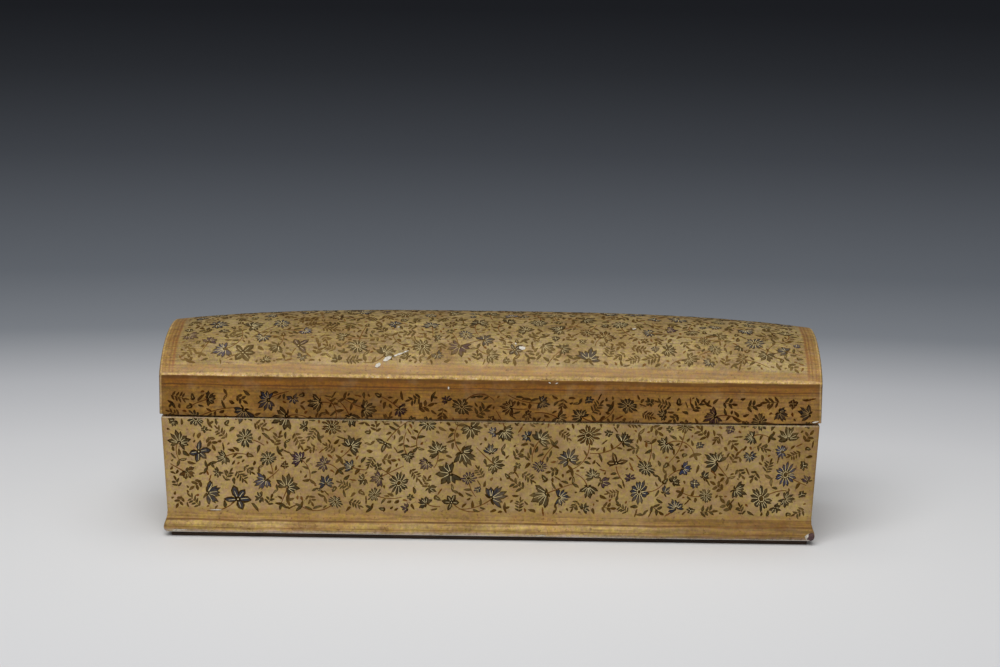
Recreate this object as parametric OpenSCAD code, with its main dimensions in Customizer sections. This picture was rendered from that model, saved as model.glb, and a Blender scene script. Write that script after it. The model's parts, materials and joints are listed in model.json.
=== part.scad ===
// Long pen box with leaning board walls, a mitred foot moulding and a hinged, vaulted lid.
// X runs along the length, the front is -Y, Z is up. The origin is the middle of the underside.

/* [Box body] */
// Length of the body over its rim
body_l = 278.8; // [220:0.2:340]
// Depth of the body over its rim
body_d = 82.8; // [70:0.2:110]
// Height of the rim above the table
rim_z = 53; // [46:0.5:70]
// Inward lean of each wall between rim and bottom board
batter = 2.3; // [0:0.1:4]
// Thickness of the wall boards
wall_t = 5; // [4.6:0.1:7]
// Thickness of the bottom board
base_t = 5; // [4:0.1:8]

/* [Foot moulding] */
// Height of bottom board that shows under the moulding
foot_gap = 2.2; // [1:0.1:3.5]
// Height of the moulding's upper edge above the table
foot_top = 11; // [9:0.1:16]
// Bulge of the moulding past the wall
foot_out = 1.9; // [0.6:0.1:3]
// Depth that the moulding is let into the wall
foot_let = 1; // [0.6:0.1:2]

/* [Rim lip] */
// Thickness of the lip strips inside the walls
lip_t = 2.2; // [1.5:0.1:3.5]
// Height of the lip above the rim
lip_up = 4; // [2:0.1:6]
// Depth of the lip strips below the rim
lip_down = 15; // [8:0.5:20]

/* [Lid] */
// Overhang of the lid past the rim
lid_over = 0.6; // [0.2:0.1:1.2]
// Thickness of the lid's upright sides
lid_wall_t = 4.6; // [4:0.1:5]
// Height of the lid's front above the rim
lid_rail_h = 18.3; // [14:0.1:28]
// Thickness of the vaulted top
lid_top_t = 4; // [3:0.1:6]
// Rise of the vault above the front edge at the two ends
end_rise = 13.9; // [8:0.1:24]
// Extra rise of the vault at mid length
camber = 6.1; // [0:0.1:10]
// Gap between rim and lid at mid length
seam_gap = 0.3; // [0.2:0.05:0.8]
// Extra gap at the two ends, from the lid's warp
seam_bow = 0.9; // [0:0.1:1.5]

/* [Hinges] */
// Distance of each hinge's middle from the lid's end
hinge_end = 54; // [35:1:75]
// Distance of the hinge axis inside the lid's back face
hinge_in = 1.6; // [1.5:0.1:1.9]
// Length of a hinge leaf
leaf_l = 30; // [28:0.5:40]
// Thickness of a hinge leaf
leaf_t = 0.8; // [0.6:0.05:1]
// Radius of the knuckles
knuckle_r = 1.6; // [1.5:0.05:1.7]
// Length of one knuckle
knuckle_l = 5.6; // [4.5:0.1:6.5]
// End play between knuckles
knuckle_gap = 0.3; // [0.2:0.05:0.4]
// Diameter of the hinge pin
pin_d = 1.4; // [1:0.1:1.6]
// Radial running clearance on the pin
pin_clear = 0.05; // [0.02:0.01:0.1]
// Bevel angle of the two back edges
bevel_deg = 36; // [30:1:40]
// Diameter of the leaf nails
nail_d = 1; // [0.8:0.1:1.2]
// Length of the leaf nails
nail_l = 8; // [5:0.5:12]

/* [Ink end] */
// Length of the ink end, from the body's end to the partition's far face
ink_end_l = 65.4; // [56:0.2:100]
// Thickness of the partition
partition_t = 4; // [3:0.1:6]
// Height of the partition's upper edge
partition_top = 34; // [31:0.5:36]
// Height of the inkwell seat's underside
seat_z = 22; // [19:0.5:24]
// Thickness of the inkwell seat
seat_t = 4; // [3:0.1:5]
// Side of the cleats under the seat
cleat_s = 5; // [3:0.1:8]
// Outer radius of the inkwell
well_r = 17; // [12:0.5:20]
// Wall thickness of the inkwell
well_t = 1.4; // [1:0.1:2.5]
// Height of the inkwell's underside above the bottom board
well_lift = 0.5; // [0.3:0.1:2]
// Height of the inkwell's neck above its flange
neck_h = 4; // [2:0.5:6]
// Thickness of the inkwell's flange and of the cap's disc
flange_t = 1.6; // [1:0.1:2.5]
// Width of the flange past the inkwell
flange_w = 3.6; // [2:0.1:5]
// Radial clearance of the inkwell in its seat
well_clear = 0.1; // [0.05:0.01:0.2]
// Radial clearance of the cap's plug in the neck
plug_clear = 0.08; // [0.03:0.01:0.1]
// Depth of the cap's plug
plug_h = 5; // [3:0.5:8]
// Height of the cap's knob
knob_h = 6; // [4:0.5:9]
// Radius of the cap's knob
knob_r = 4.2; // [3:0.1:6]

/* [Hidden] */
$fn = 64;
far = 2 * body_l;
lean = batter / (rim_z - base_t);
lid_hl = body_l / 2 + lid_over;
lid_hd = body_d / 2 + lid_over;
lid_bottom = rim_z + seam_gap;
arris_z = rim_z + lid_rail_h;
ring_z = arris_z - lid_top_t;
lid_in_x = lid_hl - lid_wall_t;
lid_in_y = lid_hd - lid_wall_t;
mitre_k = (body_l - body_d) / 2;
hinge_x = lid_hl - hinge_end;
partition_x = body_l / 2 - ink_end_l;
axis_y = lid_hd - hinge_in;
axis_z = rim_z + seam_gap / 2;
relief_r = knuckle_r + 0.35;
bevel_y = axis_y - 0.8;
knuckles_l = 3 * knuckle_l + 2 * knuckle_gap;
leaf_clear = 0.1;
nail_clear = 0.04;
base_nail_y = (body_d / 2 - wall_t + leaf_clear + bevel_y) / 2;
lid_nail_y = (lid_in_y + leaf_clear + bevel_y) / 2;
partition_h = min(partition_top, rim_z - lip_down) - base_t;
seat_top = seat_z + seat_t;
well_x = (partition_x + partition_t + body_l / 2 - wall_t - batter / 2) / 2;
well_top = seat_top + flange_t + neck_h;
cap_z = well_top + 0.3;
plug_r = well_r - well_t - plug_clear;
arch_k = 1.02;
arch_p = 0.54;
arch_foot = pow(1 - 1 / (arch_k * arch_k), arch_p);
arch_steps = 32;
length_steps = 28;

// Half length and half depth of the leaning outside at a height, and of the inside
function out_x(z) = body_l / 2 - (rim_z - z) * lean;
function out_y(z) = body_d / 2 - (rim_z - z) * lean;
function in_x(z) = out_x(z) - wall_t;
function in_y(z) = out_y(z) - wall_t;

// Section of the foot moulding, as shares of its height and of its bulge: a bead that rounds
// under at the bottom and sweeps up in a slight hollow
foot_curve = [[0, 0.46], [0.05, 0.72], [0.11, 0.9], [0.18, 0.98], [0.24, 1], [0.32, 0.95], [0.4, 0.85],
              [0.5, 0.66], [0.6, 0.46], [0.7, 0.29], [0.8, 0.15], [0.9, 0.05], [1, 0]];

// Share of the vault's rise at a share q of the half depth
function arch(q) = (pow(1 - q * q / (arch_k * arch_k), arch_p) - arch_foot) / (1 - arch_foot);

// Rise of the vault at a place along the length
function rise(x) = end_rise + camber * (1 - pow(abs(x) / lid_hl, 3));

// Even shares across the vault, closer together towards its edges
function share(i) = -cos(180 * i / arch_steps);

// Outer and inner height of the vaulted top
function top_out(x, q) = arris_z + rise(x) * arch(q);
function top_in(x, q) = ring_z + rise(min(abs(x), lid_in_x)) * arch(q);

// Lower edge of the lid along the length
function lid_edge(x) = lid_bottom + seam_bow * pow(abs(x) / lid_hl, 4);

// Stations along the vaulted top, with one at the inside of each end
function station(i) = i == 0 ? -lid_hl
    : i == length_steps ? lid_hl
    : -lid_in_x + 2 * lid_in_x * (i - 1) / (length_steps - 2);

// The two nails of each hinge leaf, at a given place in the depth
module nail_places(y) {
    for (s = [-1, 1], e = [-1, 1])
        translate([s * hinge_x + e * (leaf_l + knuckles_l) / 4, y, 0])
            children();
}

// Prism of an outline given in X and Z, long in Y
module prism_xz(points) {
    rotate([90, 0, 0])
        linear_extrude(height = far, center = true)
            polygon(points);
}

// Prism of an outline given in Y and Z, long in X
module prism_yz(points) {
    rotate([90, 0, 90])
        linear_extrude(height = far, center = true)
            polygon(points);
}

// The outside of the body seen from the front, rebated for the foot moulding
module body_front_shape() {
    prism_xz([[-out_x(base_t) + foot_let, base_t], [out_x(base_t) - foot_let, base_t],
              [out_x(foot_top) - foot_let, foot_top], [out_x(foot_top), foot_top],
              [out_x(rim_z), rim_z], [-out_x(rim_z), rim_z],
              [-out_x(foot_top), foot_top], [-out_x(foot_top) + foot_let, foot_top]]);
}

// The space between the walls, seen from the end and from the front
module inside_end_shape(z0, z1) {
    prism_yz([[-in_y(z0), z0], [in_y(z0), z0], [in_y(z1), z1], [-in_y(z1), z1]]);
}

module inside_front_shape(z0, z1) {
    prism_xz([[-in_x(z0), z0], [in_x(z0), z0], [in_x(z1), z1], [-in_x(z1), z1]]);
}

// Section of a long wall, with a given outline for its outer upper edge
module long_wall_shape(upper_edge) {
    prism_yz(concat([[in_y(base_t), base_t], [out_y(base_t) - foot_let, base_t],
                     [out_y(foot_top) - foot_let, foot_top], [out_y(foot_top), foot_top]],
                    upper_edge,
                    [[in_y(rim_z), rim_z]]));
}

// Bottom board between the foot mouldings
module base_board() {
    color("#6b5136")
        intersection() {
            prism_xz([[-out_x(0) + foot_let, 0], [out_x(0) - foot_let, 0],
                      [out_x(base_t) - foot_let, base_t], [-out_x(base_t) + foot_let, base_t]]);
            prism_yz([[-out_y(0) + foot_let, 0], [out_y(0) - foot_let, 0],
                      [out_y(base_t) - foot_let, base_t], [-out_y(base_t) + foot_let, base_t]]);
        }
}

// Long front board, the full length of the box
module front_wall() {
    color("#b0945f")
        intersection() {
            mirror([0, 1, 0])
                long_wall_shape([[out_y(rim_z), rim_z]]);
            body_front_shape();
        }
}

// Long back board, bevelled for the hinges, with their mortises and nail holes
module back_wall() {
    drop = tan(bevel_deg);
    bevel_end = (out_y(rim_z) + bevel_y * drop * lean) / (1 + drop * lean);
    color("#b0945f")
        difference() {
            intersection() {
                long_wall_shape([[bevel_end, rim_z - (bevel_end - bevel_y) * drop], [bevel_y, rim_z]]);
                body_front_shape();
            }
            for (s = [-1, 1]) {
                translate([s * hinge_x - leaf_l / 2 - leaf_clear / 2, in_y(rim_z) - 1, rim_z - leaf_t])
                    cube([leaf_l + leaf_clear, axis_y - in_y(rim_z) + 1, leaf_t + 1]);
                translate([s * hinge_x, axis_y, axis_z])
                    rotate([0, 90, 0])
                        cylinder(r = relief_r, h = knuckles_l + 0.8, center = true);
            }
            nail_places(base_nail_y)
                translate([0, 0, rim_z - nail_l])
                    cylinder(d = nail_d + nail_clear, h = nail_l + 1);
        }
}

// Short end boards between the two long boards
module end_wall() {
    intersection() {
        prism_xz([[in_x(base_t), base_t], [out_x(base_t) - foot_let, base_t],
                  [out_x(foot_top) - foot_let, foot_top], [out_x(foot_top), foot_top],
                  [out_x(rim_z), rim_z], [in_x(rim_z), rim_z]]);
        inside_end_shape(base_t, rim_z);
    }
}

module left_wall() {
    color("#a98d59")
        mirror([1, 0, 0])
            end_wall();
}

module right_wall() {
    color("#a98d59")
        end_wall();
}

// Outline of the foot moulding, let into the long wall or, with a shift, into the end wall
function foot_points(shift) = concat(
    [[out_y(foot_top) + shift - foot_let, foot_top], [out_y(foot_gap) + shift - foot_let, foot_gap]],
    [for (part = foot_curve)
         let (z = foot_gap + part[0] * (foot_top - foot_gap))
             [out_y(z) + shift + foot_out * part[1], z]]);

// Front and back strips are kept inside the mitre, end strips outside it
module long_mitre() {
    linear_extrude(height = foot_top + 1)
        polygon([[-mitre_k, 0], [mitre_k, 0], [mitre_k + body_d, body_d], [-mitre_k - body_d, body_d]]);
}

module end_mitre() {
    linear_extrude(height = foot_top + 1)
        polygon([[mitre_k, 0], [mitre_k + body_d, -body_d], [mitre_k + body_d, body_d]]);
}

// Rounded foot strip along a long side, mitred at both ends
module long_foot() {
    intersection() {
        prism_yz(foot_points(0));
        long_mitre();
    }
}

// Rounded foot strip along a short end, mitred at both ends
module end_foot() {
    intersection() {
        prism_xz(foot_points(mitre_k));
        end_mitre();
    }
}

module front_foot() {
    color("#c0a368")
        mirror([0, 1, 0])
            long_foot();
}

module back_foot() {
    color("#c0a368")
        long_foot();
}

module left_foot() {
    color("#b89b62")
        mirror([1, 0, 0])
            end_foot();
}

module right_foot() {
    color("#b89b62")
        end_foot();
}

// Lip strip along a long side, glued inside the wall and proud of the rim
module long_lip() {
    z0 = rim_z - lip_down;
    z1 = rim_z + lip_up;
    intersection() {
        prism_yz([[in_y(z0) - lip_t, z0], [in_y(z0), z0], [in_y(z1), z1], [in_y(z1) - lip_t, z1]]);
        inside_front_shape(z0, z1);
    }
}

// Lip strip along a short end, between the long lips
module end_lip() {
    z0 = rim_z - lip_down;
    z1 = rim_z + lip_up;
    intersection() {
        prism_xz([[in_x(z0) - lip_t, z0], [in_x(z0), z0], [in_x(z1), z1], [in_x(z1) - lip_t, z1]]);
        prism_yz([[-in_y(z0) + lip_t, z0], [in_y(z0) - lip_t, z0], [in_y(z1) - lip_t, z1], [-in_y(z1) + lip_t, z1]]);
    }
}

module front_lip() {
    color("#5e3b26")
        mirror([0, 1, 0])
            long_lip();
}

module back_lip() {
    color("#5e3b26")
        long_lip();
}

module left_lip() {
    color("#6a452d")
        mirror([1, 0, 0])
            end_lip();
}

module right_lip() {
    color("#6a452d")
        end_lip();
}

// Upright board that parts the ink end from the pens
module ink_partition() {
    color("#6a452d")
        intersection() {
            translate([partition_x, -body_d, base_t])
                cube([partition_t, 2 * body_d, partition_h]);
            inside_end_shape(base_t, rim_z);
        }
}

// Two cleats glued to the long walls under the inkwell seat
module seat_cleats() {
    z0 = seat_z - cleat_s;
    color("#5e3b26")
        for (s = [0, 1])
            mirror([0, s, 0])
                intersection() {
                    prism_yz([[in_y(z0) - cleat_s, z0], [in_y(z0), z0],
                              [in_y(seat_z), seat_z], [in_y(seat_z) - cleat_s, seat_z]]);
                    inside_front_shape(base_t, rim_z);
                    translate([partition_x + partition_t, -body_d, 0])
                        cube([far, 2 * body_d, rim_z]);
                }
}

// Board with a round hole that holds the inkwell
module inkwell_seat() {
    color("#7a5436")
        difference() {
            intersection() {
                translate([partition_x + partition_t, -body_d, seat_z])
                    cube([far, 2 * body_d, seat_t]);
                inside_end_shape(base_t, rim_z);
                inside_front_shape(base_t, rim_z);
            }
            translate([well_x, 0, seat_z - 1])
                cylinder(r = well_r + well_clear, h = seat_t + 2);
        }
}

// Turned pot that hangs in the seat by its flange
module inkwell() {
    floor_z = base_t + well_lift;
    color("#b08a3e")
        translate([well_x, 0, 0])
            rotate_extrude()
                polygon([[0, floor_z], [well_r - 1, floor_z], [well_r, floor_z + 1], [well_r, seat_top],
                         [well_r + flange_w, seat_top], [well_r + flange_w, seat_top + flange_t],
                         [well_r, seat_top + flange_t], [well_r, well_top], [well_r - well_t, well_top],
                         [well_r - well_t, floor_z + well_t], [0, floor_z + well_t]]);
}

// Turned cap with a plug below and a knob above
module inkwell_cap() {
    knob_z = cap_z + flange_t;
    color("#b8923f")
        translate([well_x, 0, 0])
            rotate_extrude()
                polygon([[0, cap_z - plug_h], [plug_r - 0.5, cap_z - plug_h], [plug_r, cap_z - plug_h + 0.5],
                         [plug_r, cap_z], [well_r + 1, cap_z], [well_r + 1, knob_z - 0.6],
                         [well_r + 0.4, knob_z], [knob_r + 1, knob_z + 0.3], [knob_r * 0.5, knob_z + knob_h * 0.3],
                         [knob_r * 0.55, knob_z + knob_h * 0.45], [knob_r, knob_z + knob_h * 0.65],
                         [knob_r, knob_z + knob_h * 0.8], [knob_r * 0.6, knob_z + knob_h], [0, knob_z + knob_h]]);
}

// Nails through the wings of the base leaves
module base_leaf_nails() {
    color("#9c7a38")
        nail_places(base_nail_y)
            translate([0, 0, rim_z - nail_l])
                cylinder(d = nail_d, h = nail_l);
}

// Nails through the wings of the lid leaves
module lid_leaf_nails() {
    color("#9c7a38")
        nail_places(lid_nail_y)
            translate([0, 0, lid_bottom])
                cylinder(d = nail_d, h = nail_l);
}

// Leaf with two outer knuckles, let into the back wall
module base_leaf() {
    y0 = in_y(rim_z) + leaf_clear;
    color("#b08a3e")
        difference() {
            union() {
                translate([-leaf_l / 2, y0, rim_z - leaf_t])
                    cube([leaf_l, bevel_y - y0, leaf_t]);
                for (s = [-1, 1])
                    translate([s * (knuckle_l + knuckle_gap), 0, 0]) {
                        translate([-knuckle_l / 2, y0, rim_z - leaf_t])
                            cube([knuckle_l, axis_y - y0, leaf_t]);
                        translate([0, axis_y, axis_z])
                            rotate([0, 90, 0])
                                cylinder(r = knuckle_r, h = knuckle_l, center = true);
                    }
            }
            translate([0, axis_y, axis_z])
                rotate([0, 90, 0]) {
                    cylinder(d = pin_d + 0.02, h = leaf_l, center = true);
                    cylinder(r = relief_r, h = knuckle_l + 2 * knuckle_gap, center = true);
                }
            for (e = [-1, 1])
                translate([e * (leaf_l + knuckles_l) / 4, base_nail_y, rim_z - leaf_t - 1])
                    cylinder(d = nail_d + nail_clear, h = leaf_t + 2);
        }
}

module left_base_leaf() {
    translate([-hinge_x, 0, 0])
        base_leaf();
}

module right_base_leaf() {
    translate([hinge_x, 0, 0])
        base_leaf();
}

module hinge_pins() {
    color("#8f6f33")
        for (s = [-1, 1])
            translate([s * hinge_x, axis_y, axis_z])
                rotate([0, 90, 0])
                    cylinder(d = pin_d, h = knuckles_l, center = true);
}

module lid_leaf() {
    y0 = lid_in_y + leaf_clear;
    color("#b08a3e")
        difference() {
            union() {
                translate([-leaf_l / 2, y0, lid_bottom])
                    cube([leaf_l, bevel_y - y0, leaf_t]);
                translate([-knuckle_l / 2, y0, lid_bottom])
                    cube([knuckle_l, axis_y - y0, leaf_t]);
                translate([0, axis_y, axis_z])
                    rotate([0, 90, 0])
                        cylinder(r = knuckle_r, h = knuckle_l, center = true);
            }
            translate([0, axis_y, axis_z])
                rotate([0, 90, 0])
                    cylinder(d = pin_d + 2 * pin_clear, h = leaf_l, center = true);
            for (s = [-1, 1]) {
                translate([s * (knuckle_l + knuckle_gap), axis_y, axis_z])
                    rotate([0, 90, 0])
                        cylinder(r = relief_r, h = knuckle_l + 2 * knuckle_gap, center = true);
                translate([s * (leaf_l + knuckles_l) / 4, lid_nail_y, lid_bottom - 1])
                    cylinder(d = nail_d + nail_clear, h = leaf_t + 2);
            }
        }
}

module left_lid_leaf() {
    translate([-hinge_x, 0, 0])
        lid_leaf();
}

module right_lid_leaf() {
    translate([hinge_x, 0, 0])
        lid_leaf();
}

// Upright side of the lid seen from the front, with its warped lower edge
module rail_front_shape() {
    prism_xz(concat([[-lid_hl, ring_z]],
                    [for (i = [0 : 40]) let (x = -lid_hl + i * lid_hl / 20) [x, lid_edge(x)]],
                    [[lid_hl, ring_z]]));
}

module lid_front_rail() {
    color("#9a7740")
        intersection() {
            rail_front_shape();
            translate([-far / 2, -lid_hd, 0])
                cube([far, lid_wall_t, far]);
        }
}

// Back rail, bevelled for the hinges, with their mortises and nail holes
module lid_back_rail() {
    color("#9a7740")
        difference() {
            intersection() {
                rail_front_shape();
                prism_yz([[lid_in_y, lid_bottom], [bevel_y, lid_bottom],
                          [lid_hd, lid_bottom + (lid_hd - bevel_y) * tan(bevel_deg)],
                          [lid_hd, ring_z], [lid_in_y, ring_z]]);
            }
            for (s = [-1, 1]) {
                translate([s * hinge_x - leaf_l / 2 - leaf_clear / 2, lid_in_y - 1, lid_bottom - 1])
                    cube([leaf_l + leaf_clear, axis_y - lid_in_y + 1, leaf_t + 1]);
                translate([s * hinge_x, axis_y, axis_z])
                    rotate([0, 90, 0])
                        cylinder(r = relief_r, h = knuckles_l + 0.8, center = true);
            }
            nail_places(lid_nail_y)
                translate([0, 0, lid_bottom - 1])
                    cylinder(d = nail_d + nail_clear, h = nail_l + 1);
        }
}

// Arched end of the lid, between the rails and under the vaulted top
module lid_end() {
    z0 = lid_edge(lid_hl);
    translate([lid_in_x, 0, 0])
        rotate([90, 0, 90])
            linear_extrude(height = lid_wall_t)
                polygon(concat([[lid_in_y, z0], [lid_in_y, ring_z]],
                               [for (i = [1 : arch_steps - 1])
                                    [-lid_in_y * share(i), top_in(lid_hl, share(i))]],
                               [[-lid_in_y, ring_z], [-lid_in_y, z0]]));
}

module lid_left_end() {
    color("#a3804a")
        mirror([1, 0, 0])
            lid_end();
}

module lid_right_end() {
    color("#a3804a")
        lid_end();
}

// Vaulted top: rings of points across the box, joined along its length
module lid_top() {
    ring_n = 2 * arch_steps + 4;
    points = [for (j = [0 : length_steps]) let (x = station(j))
                  each concat([[x, -lid_hd, ring_z]],
                              [for (i = [0 : arch_steps]) [x, lid_hd * share(i), top_out(x, share(i))]],
                              [[x, lid_hd, ring_z]],
                              [for (i = [0 : arch_steps])
                                   [x, -lid_in_y * share(i), top_in(x, share(i))]])];
    sides = [for (j = [0 : length_steps - 1], i = [0 : ring_n - 1])
                 let (a = j * ring_n + i, b = j * ring_n + (i + 1) % ring_n)
                     each [[a, b, a + ring_n], [b, b + ring_n, a + ring_n]]];
    strip = [for (i = [0 : arch_steps - 1])
                 let (o = 1 + i, n = ring_n - 1 - i)
                     each [[o, n, n - 1], [o, n - 1, o + 1]]];
    feet = [[0, ring_n - 1, 1], [arch_steps + 1, arch_steps + 3, arch_steps + 2]];
    near_cap = concat(strip, feet);
    last = length_steps * ring_n;
    far_cap = [for (t = near_cap) [t[2] + last, t[1] + last, t[0] + last]];
    color("#b89c66")
        polyhedron(points = points, faces = concat(sides, near_cap, far_cap), convexity = 6);
}

base_board();
front_wall();
back_wall();
left_wall();
right_wall();
front_foot();
back_foot();
left_foot();
right_foot();
front_lip();
back_lip();
left_lip();
right_lip();
ink_partition();
seat_cleats();
inkwell_seat();
inkwell();
inkwell_cap();
left_base_leaf();
right_base_leaf();
base_leaf_nails();
hinge_pins();
left_lid_leaf();
right_lid_leaf();
lid_leaf_nails();
lid_front_rail();
lid_back_rail();
lid_left_end();
lid_right_end();
lid_top();
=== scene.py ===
import json
import math
import random

import bmesh
import bpy
import numpy as np
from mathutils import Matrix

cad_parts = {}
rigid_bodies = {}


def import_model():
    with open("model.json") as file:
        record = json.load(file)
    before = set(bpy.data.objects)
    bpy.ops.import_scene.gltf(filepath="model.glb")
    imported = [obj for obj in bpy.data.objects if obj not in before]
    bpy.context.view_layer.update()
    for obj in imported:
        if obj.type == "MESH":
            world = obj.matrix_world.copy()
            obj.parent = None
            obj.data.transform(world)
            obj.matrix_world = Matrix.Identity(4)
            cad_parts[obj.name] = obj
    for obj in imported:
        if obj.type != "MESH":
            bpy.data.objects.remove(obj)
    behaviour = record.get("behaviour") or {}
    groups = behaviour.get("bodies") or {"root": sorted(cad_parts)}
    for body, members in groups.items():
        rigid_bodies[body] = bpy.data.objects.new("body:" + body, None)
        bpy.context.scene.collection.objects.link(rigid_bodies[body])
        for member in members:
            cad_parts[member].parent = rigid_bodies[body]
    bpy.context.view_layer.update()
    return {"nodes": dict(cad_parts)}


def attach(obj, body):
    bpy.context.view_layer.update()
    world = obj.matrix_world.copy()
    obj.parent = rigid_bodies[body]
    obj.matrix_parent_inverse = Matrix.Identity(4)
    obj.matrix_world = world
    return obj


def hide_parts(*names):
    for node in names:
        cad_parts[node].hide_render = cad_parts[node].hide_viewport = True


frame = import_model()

# Bottom board
# The bottom board: one softwood board under the four walls, set in behind the foot mouldings
# so that only a dark strip of it shows. Bare wood, sawn and then browned by age and handling.


def linear(colour):
    """An sRGB hex colour as the linear colour that a socket takes."""
    parts = [int(colour[i:i + 2], 16) / 255 for i in (1, 3, 5)]
    return [c / 12.92 if c <= 0.04045 else ((c + 0.055) / 1.055) ** 2.4 for c in parts] + [1.0]


def node(tree, kind, settings=None, **inputs):
    """Adds one node, sets its settings, and sets or links its inputs by name or by _number."""
    made = tree.nodes.new(kind)
    for key, value in (settings or {}).items():
        if key == "stops":
            ramp = made.color_ramp.elements
            while len(ramp) < len(value):
                ramp.new(1.0)
            for stop, (place, colour) in zip(ramp, value):
                stop.position = place
                stop.color = linear(colour)
        else:
            setattr(made, key, value)
    for key, value in inputs.items():
        socket = made.inputs[int(key[1:])] if key[0] == "_" else made.inputs[key.replace("_", " ")]
        if isinstance(value, bpy.types.NodeSocket):
            tree.links.new(value, socket)
        else:
            socket.default_value = value
    return made


def new_finish(name):
    """An empty material, its tree, and the place on the piece in millimetres."""
    material = bpy.data.materials.new(name)
    material.use_nodes = True
    tree = material.node_tree
    tree.nodes.clear()
    where = node(tree, "ShaderNodeTexCoord").outputs["Object"]
    mm = node(tree, "ShaderNodeVectorMath", {"operation": "SCALE"}, _0=where, Scale=1000.0)
    return material, tree, mm.outputs[0]


def add_piece(mesh, body, stands_for=None):
    """Puts a finished mesh into the scene on its body, in place of the solid that it stands for."""
    piece = bpy.data.objects.new(mesh.name, mesh)
    bpy.context.scene.collection.objects.link(piece)
    if stands_for:
        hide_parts(stands_for)
    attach(piece, body)


def softened(name, body, material, width, corner=None, steps=2, curved=False, lining=None):
    """A copy of a solid with its worn edges rounded over by width mm, which stands for it. lining
    is the finish of its faces that look to the middle of the box."""
    flat_limit, edge_limit, crease_limit = (math.radians(a) for a in (0.2, 32, 40))
    bm = bmesh.new()
    bm.from_mesh(frame["nodes"][name].data)
    bmesh.ops.remove_doubles(bm, verts=bm.verts, dist=2e-6)
    bmesh.ops.dissolve_limit(bm, angle_limit=flat_limit, verts=bm.verts, edges=bm.edges)
    for face in bm.faces:
        face.smooth = curved
    edges = []
    for edge in bm.edges:
        if len(edge.link_faces) == 2 and edge.calc_face_angle() > edge_limit:
            middle = (edge.verts[0].co + edge.verts[1].co) / 2 * 1000
            if corner is None or corner(*middle):
                edges.append(edge)
    if width and edges:
        rounded = bmesh.ops.bevel(bm, geom=edges, offset=width / 1000, offset_type="OFFSET",
                                  segments=steps, profile=0.5, affect="EDGES", clamp_overlap=True)
        for face in rounded["faces"]:
            face.smooth = True
    bmesh.ops.recalc_face_normals(bm, faces=bm.faces)
    mesh = bpy.data.meshes.new(name + "_made")
    bm.to_mesh(mesh)
    bm.free()
    if curved:
        mesh.set_sharp_from_angle(angle=crease_limit)
    mesh.materials.append(material)
    if lining:
        mesh.materials.append(lining)
        for face in mesh.polygons:
            inward = -face.normal.x * face.center.x - face.normal.y * face.center.y
            face.material_index = int(inward > 0.005 and abs(face.normal.z) < 0.5)
    add_piece(mesh, body, name)


# Settings of a mix in which one colour tints the other.
TINT = {"data_type": "RGBA", "blend_type": "MULTIPLY"}
# Aged softwood, sawn and left bare: long brown grain along the board, dull, with dirt.
bare_board, tree, mm = new_finish("aged_softwood")
along = node(tree, "ShaderNodeMapping", _0=mm, Scale=(0.02, 0.55, 0.55)).outputs[0]
grain = node(tree, "ShaderNodeTexNoise", _0=along, Scale=1.0, Detail=5.0, Roughness=0.65).outputs[0]
tone = node(tree, "ShaderNodeValToRGB",
            {"stops": [(0.3, "#2B2018"), (0.55, "#4A3524"), (0.75, "#5C452F")]}, Fac=grain).outputs[0]
dirt = node(tree, "ShaderNodeTexNoise", _0=mm, Scale=0.06, Detail=3.0).outputs[0]
tone = node(tree, "ShaderNodeMix", TINT, _0=dirt, _6=tone, _7=linear("#8A8078")).outputs[2]
lift = node(tree, "ShaderNodeBump", Strength=0.5, Distance=0.0002, Height=grain).outputs[0]
skin = node(tree, "ShaderNodeBsdfPrincipled", Base_Color=tone, Roughness=0.78, Normal=lift)
node(tree, "ShaderNodeOutputMaterial", Surface=skin.outputs[0])

softened("base_board", "box", bare_board, 0.4)

# Body walls
# The four walls: thin boards that lean in towards the base, the two long ones full length and
# the ends between them. Gesso over the joints, then gold paint under a browned varnish.

# Height of the rim, half length and half depth there, and how far the walls lean in for each mm down.
RIM_Z = 53.0
RIM_X = 139.4
RIM_Y = 41.4
LEAN = 2.3 / (RIM_Z - 5.0)
# Settings of a mix in which one colour lies over the other.
OVER = {"data_type": "RGBA"}


def wall_x(z):
    """Half length of the outside of the walls at height z, in mm."""
    return RIM_X - (RIM_Z - z) * LEAN


def wall_y(z):
    """Half depth of the outside of the walls at height z, in mm."""
    return RIM_Y - (RIM_Z - z) * LEAN


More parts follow.
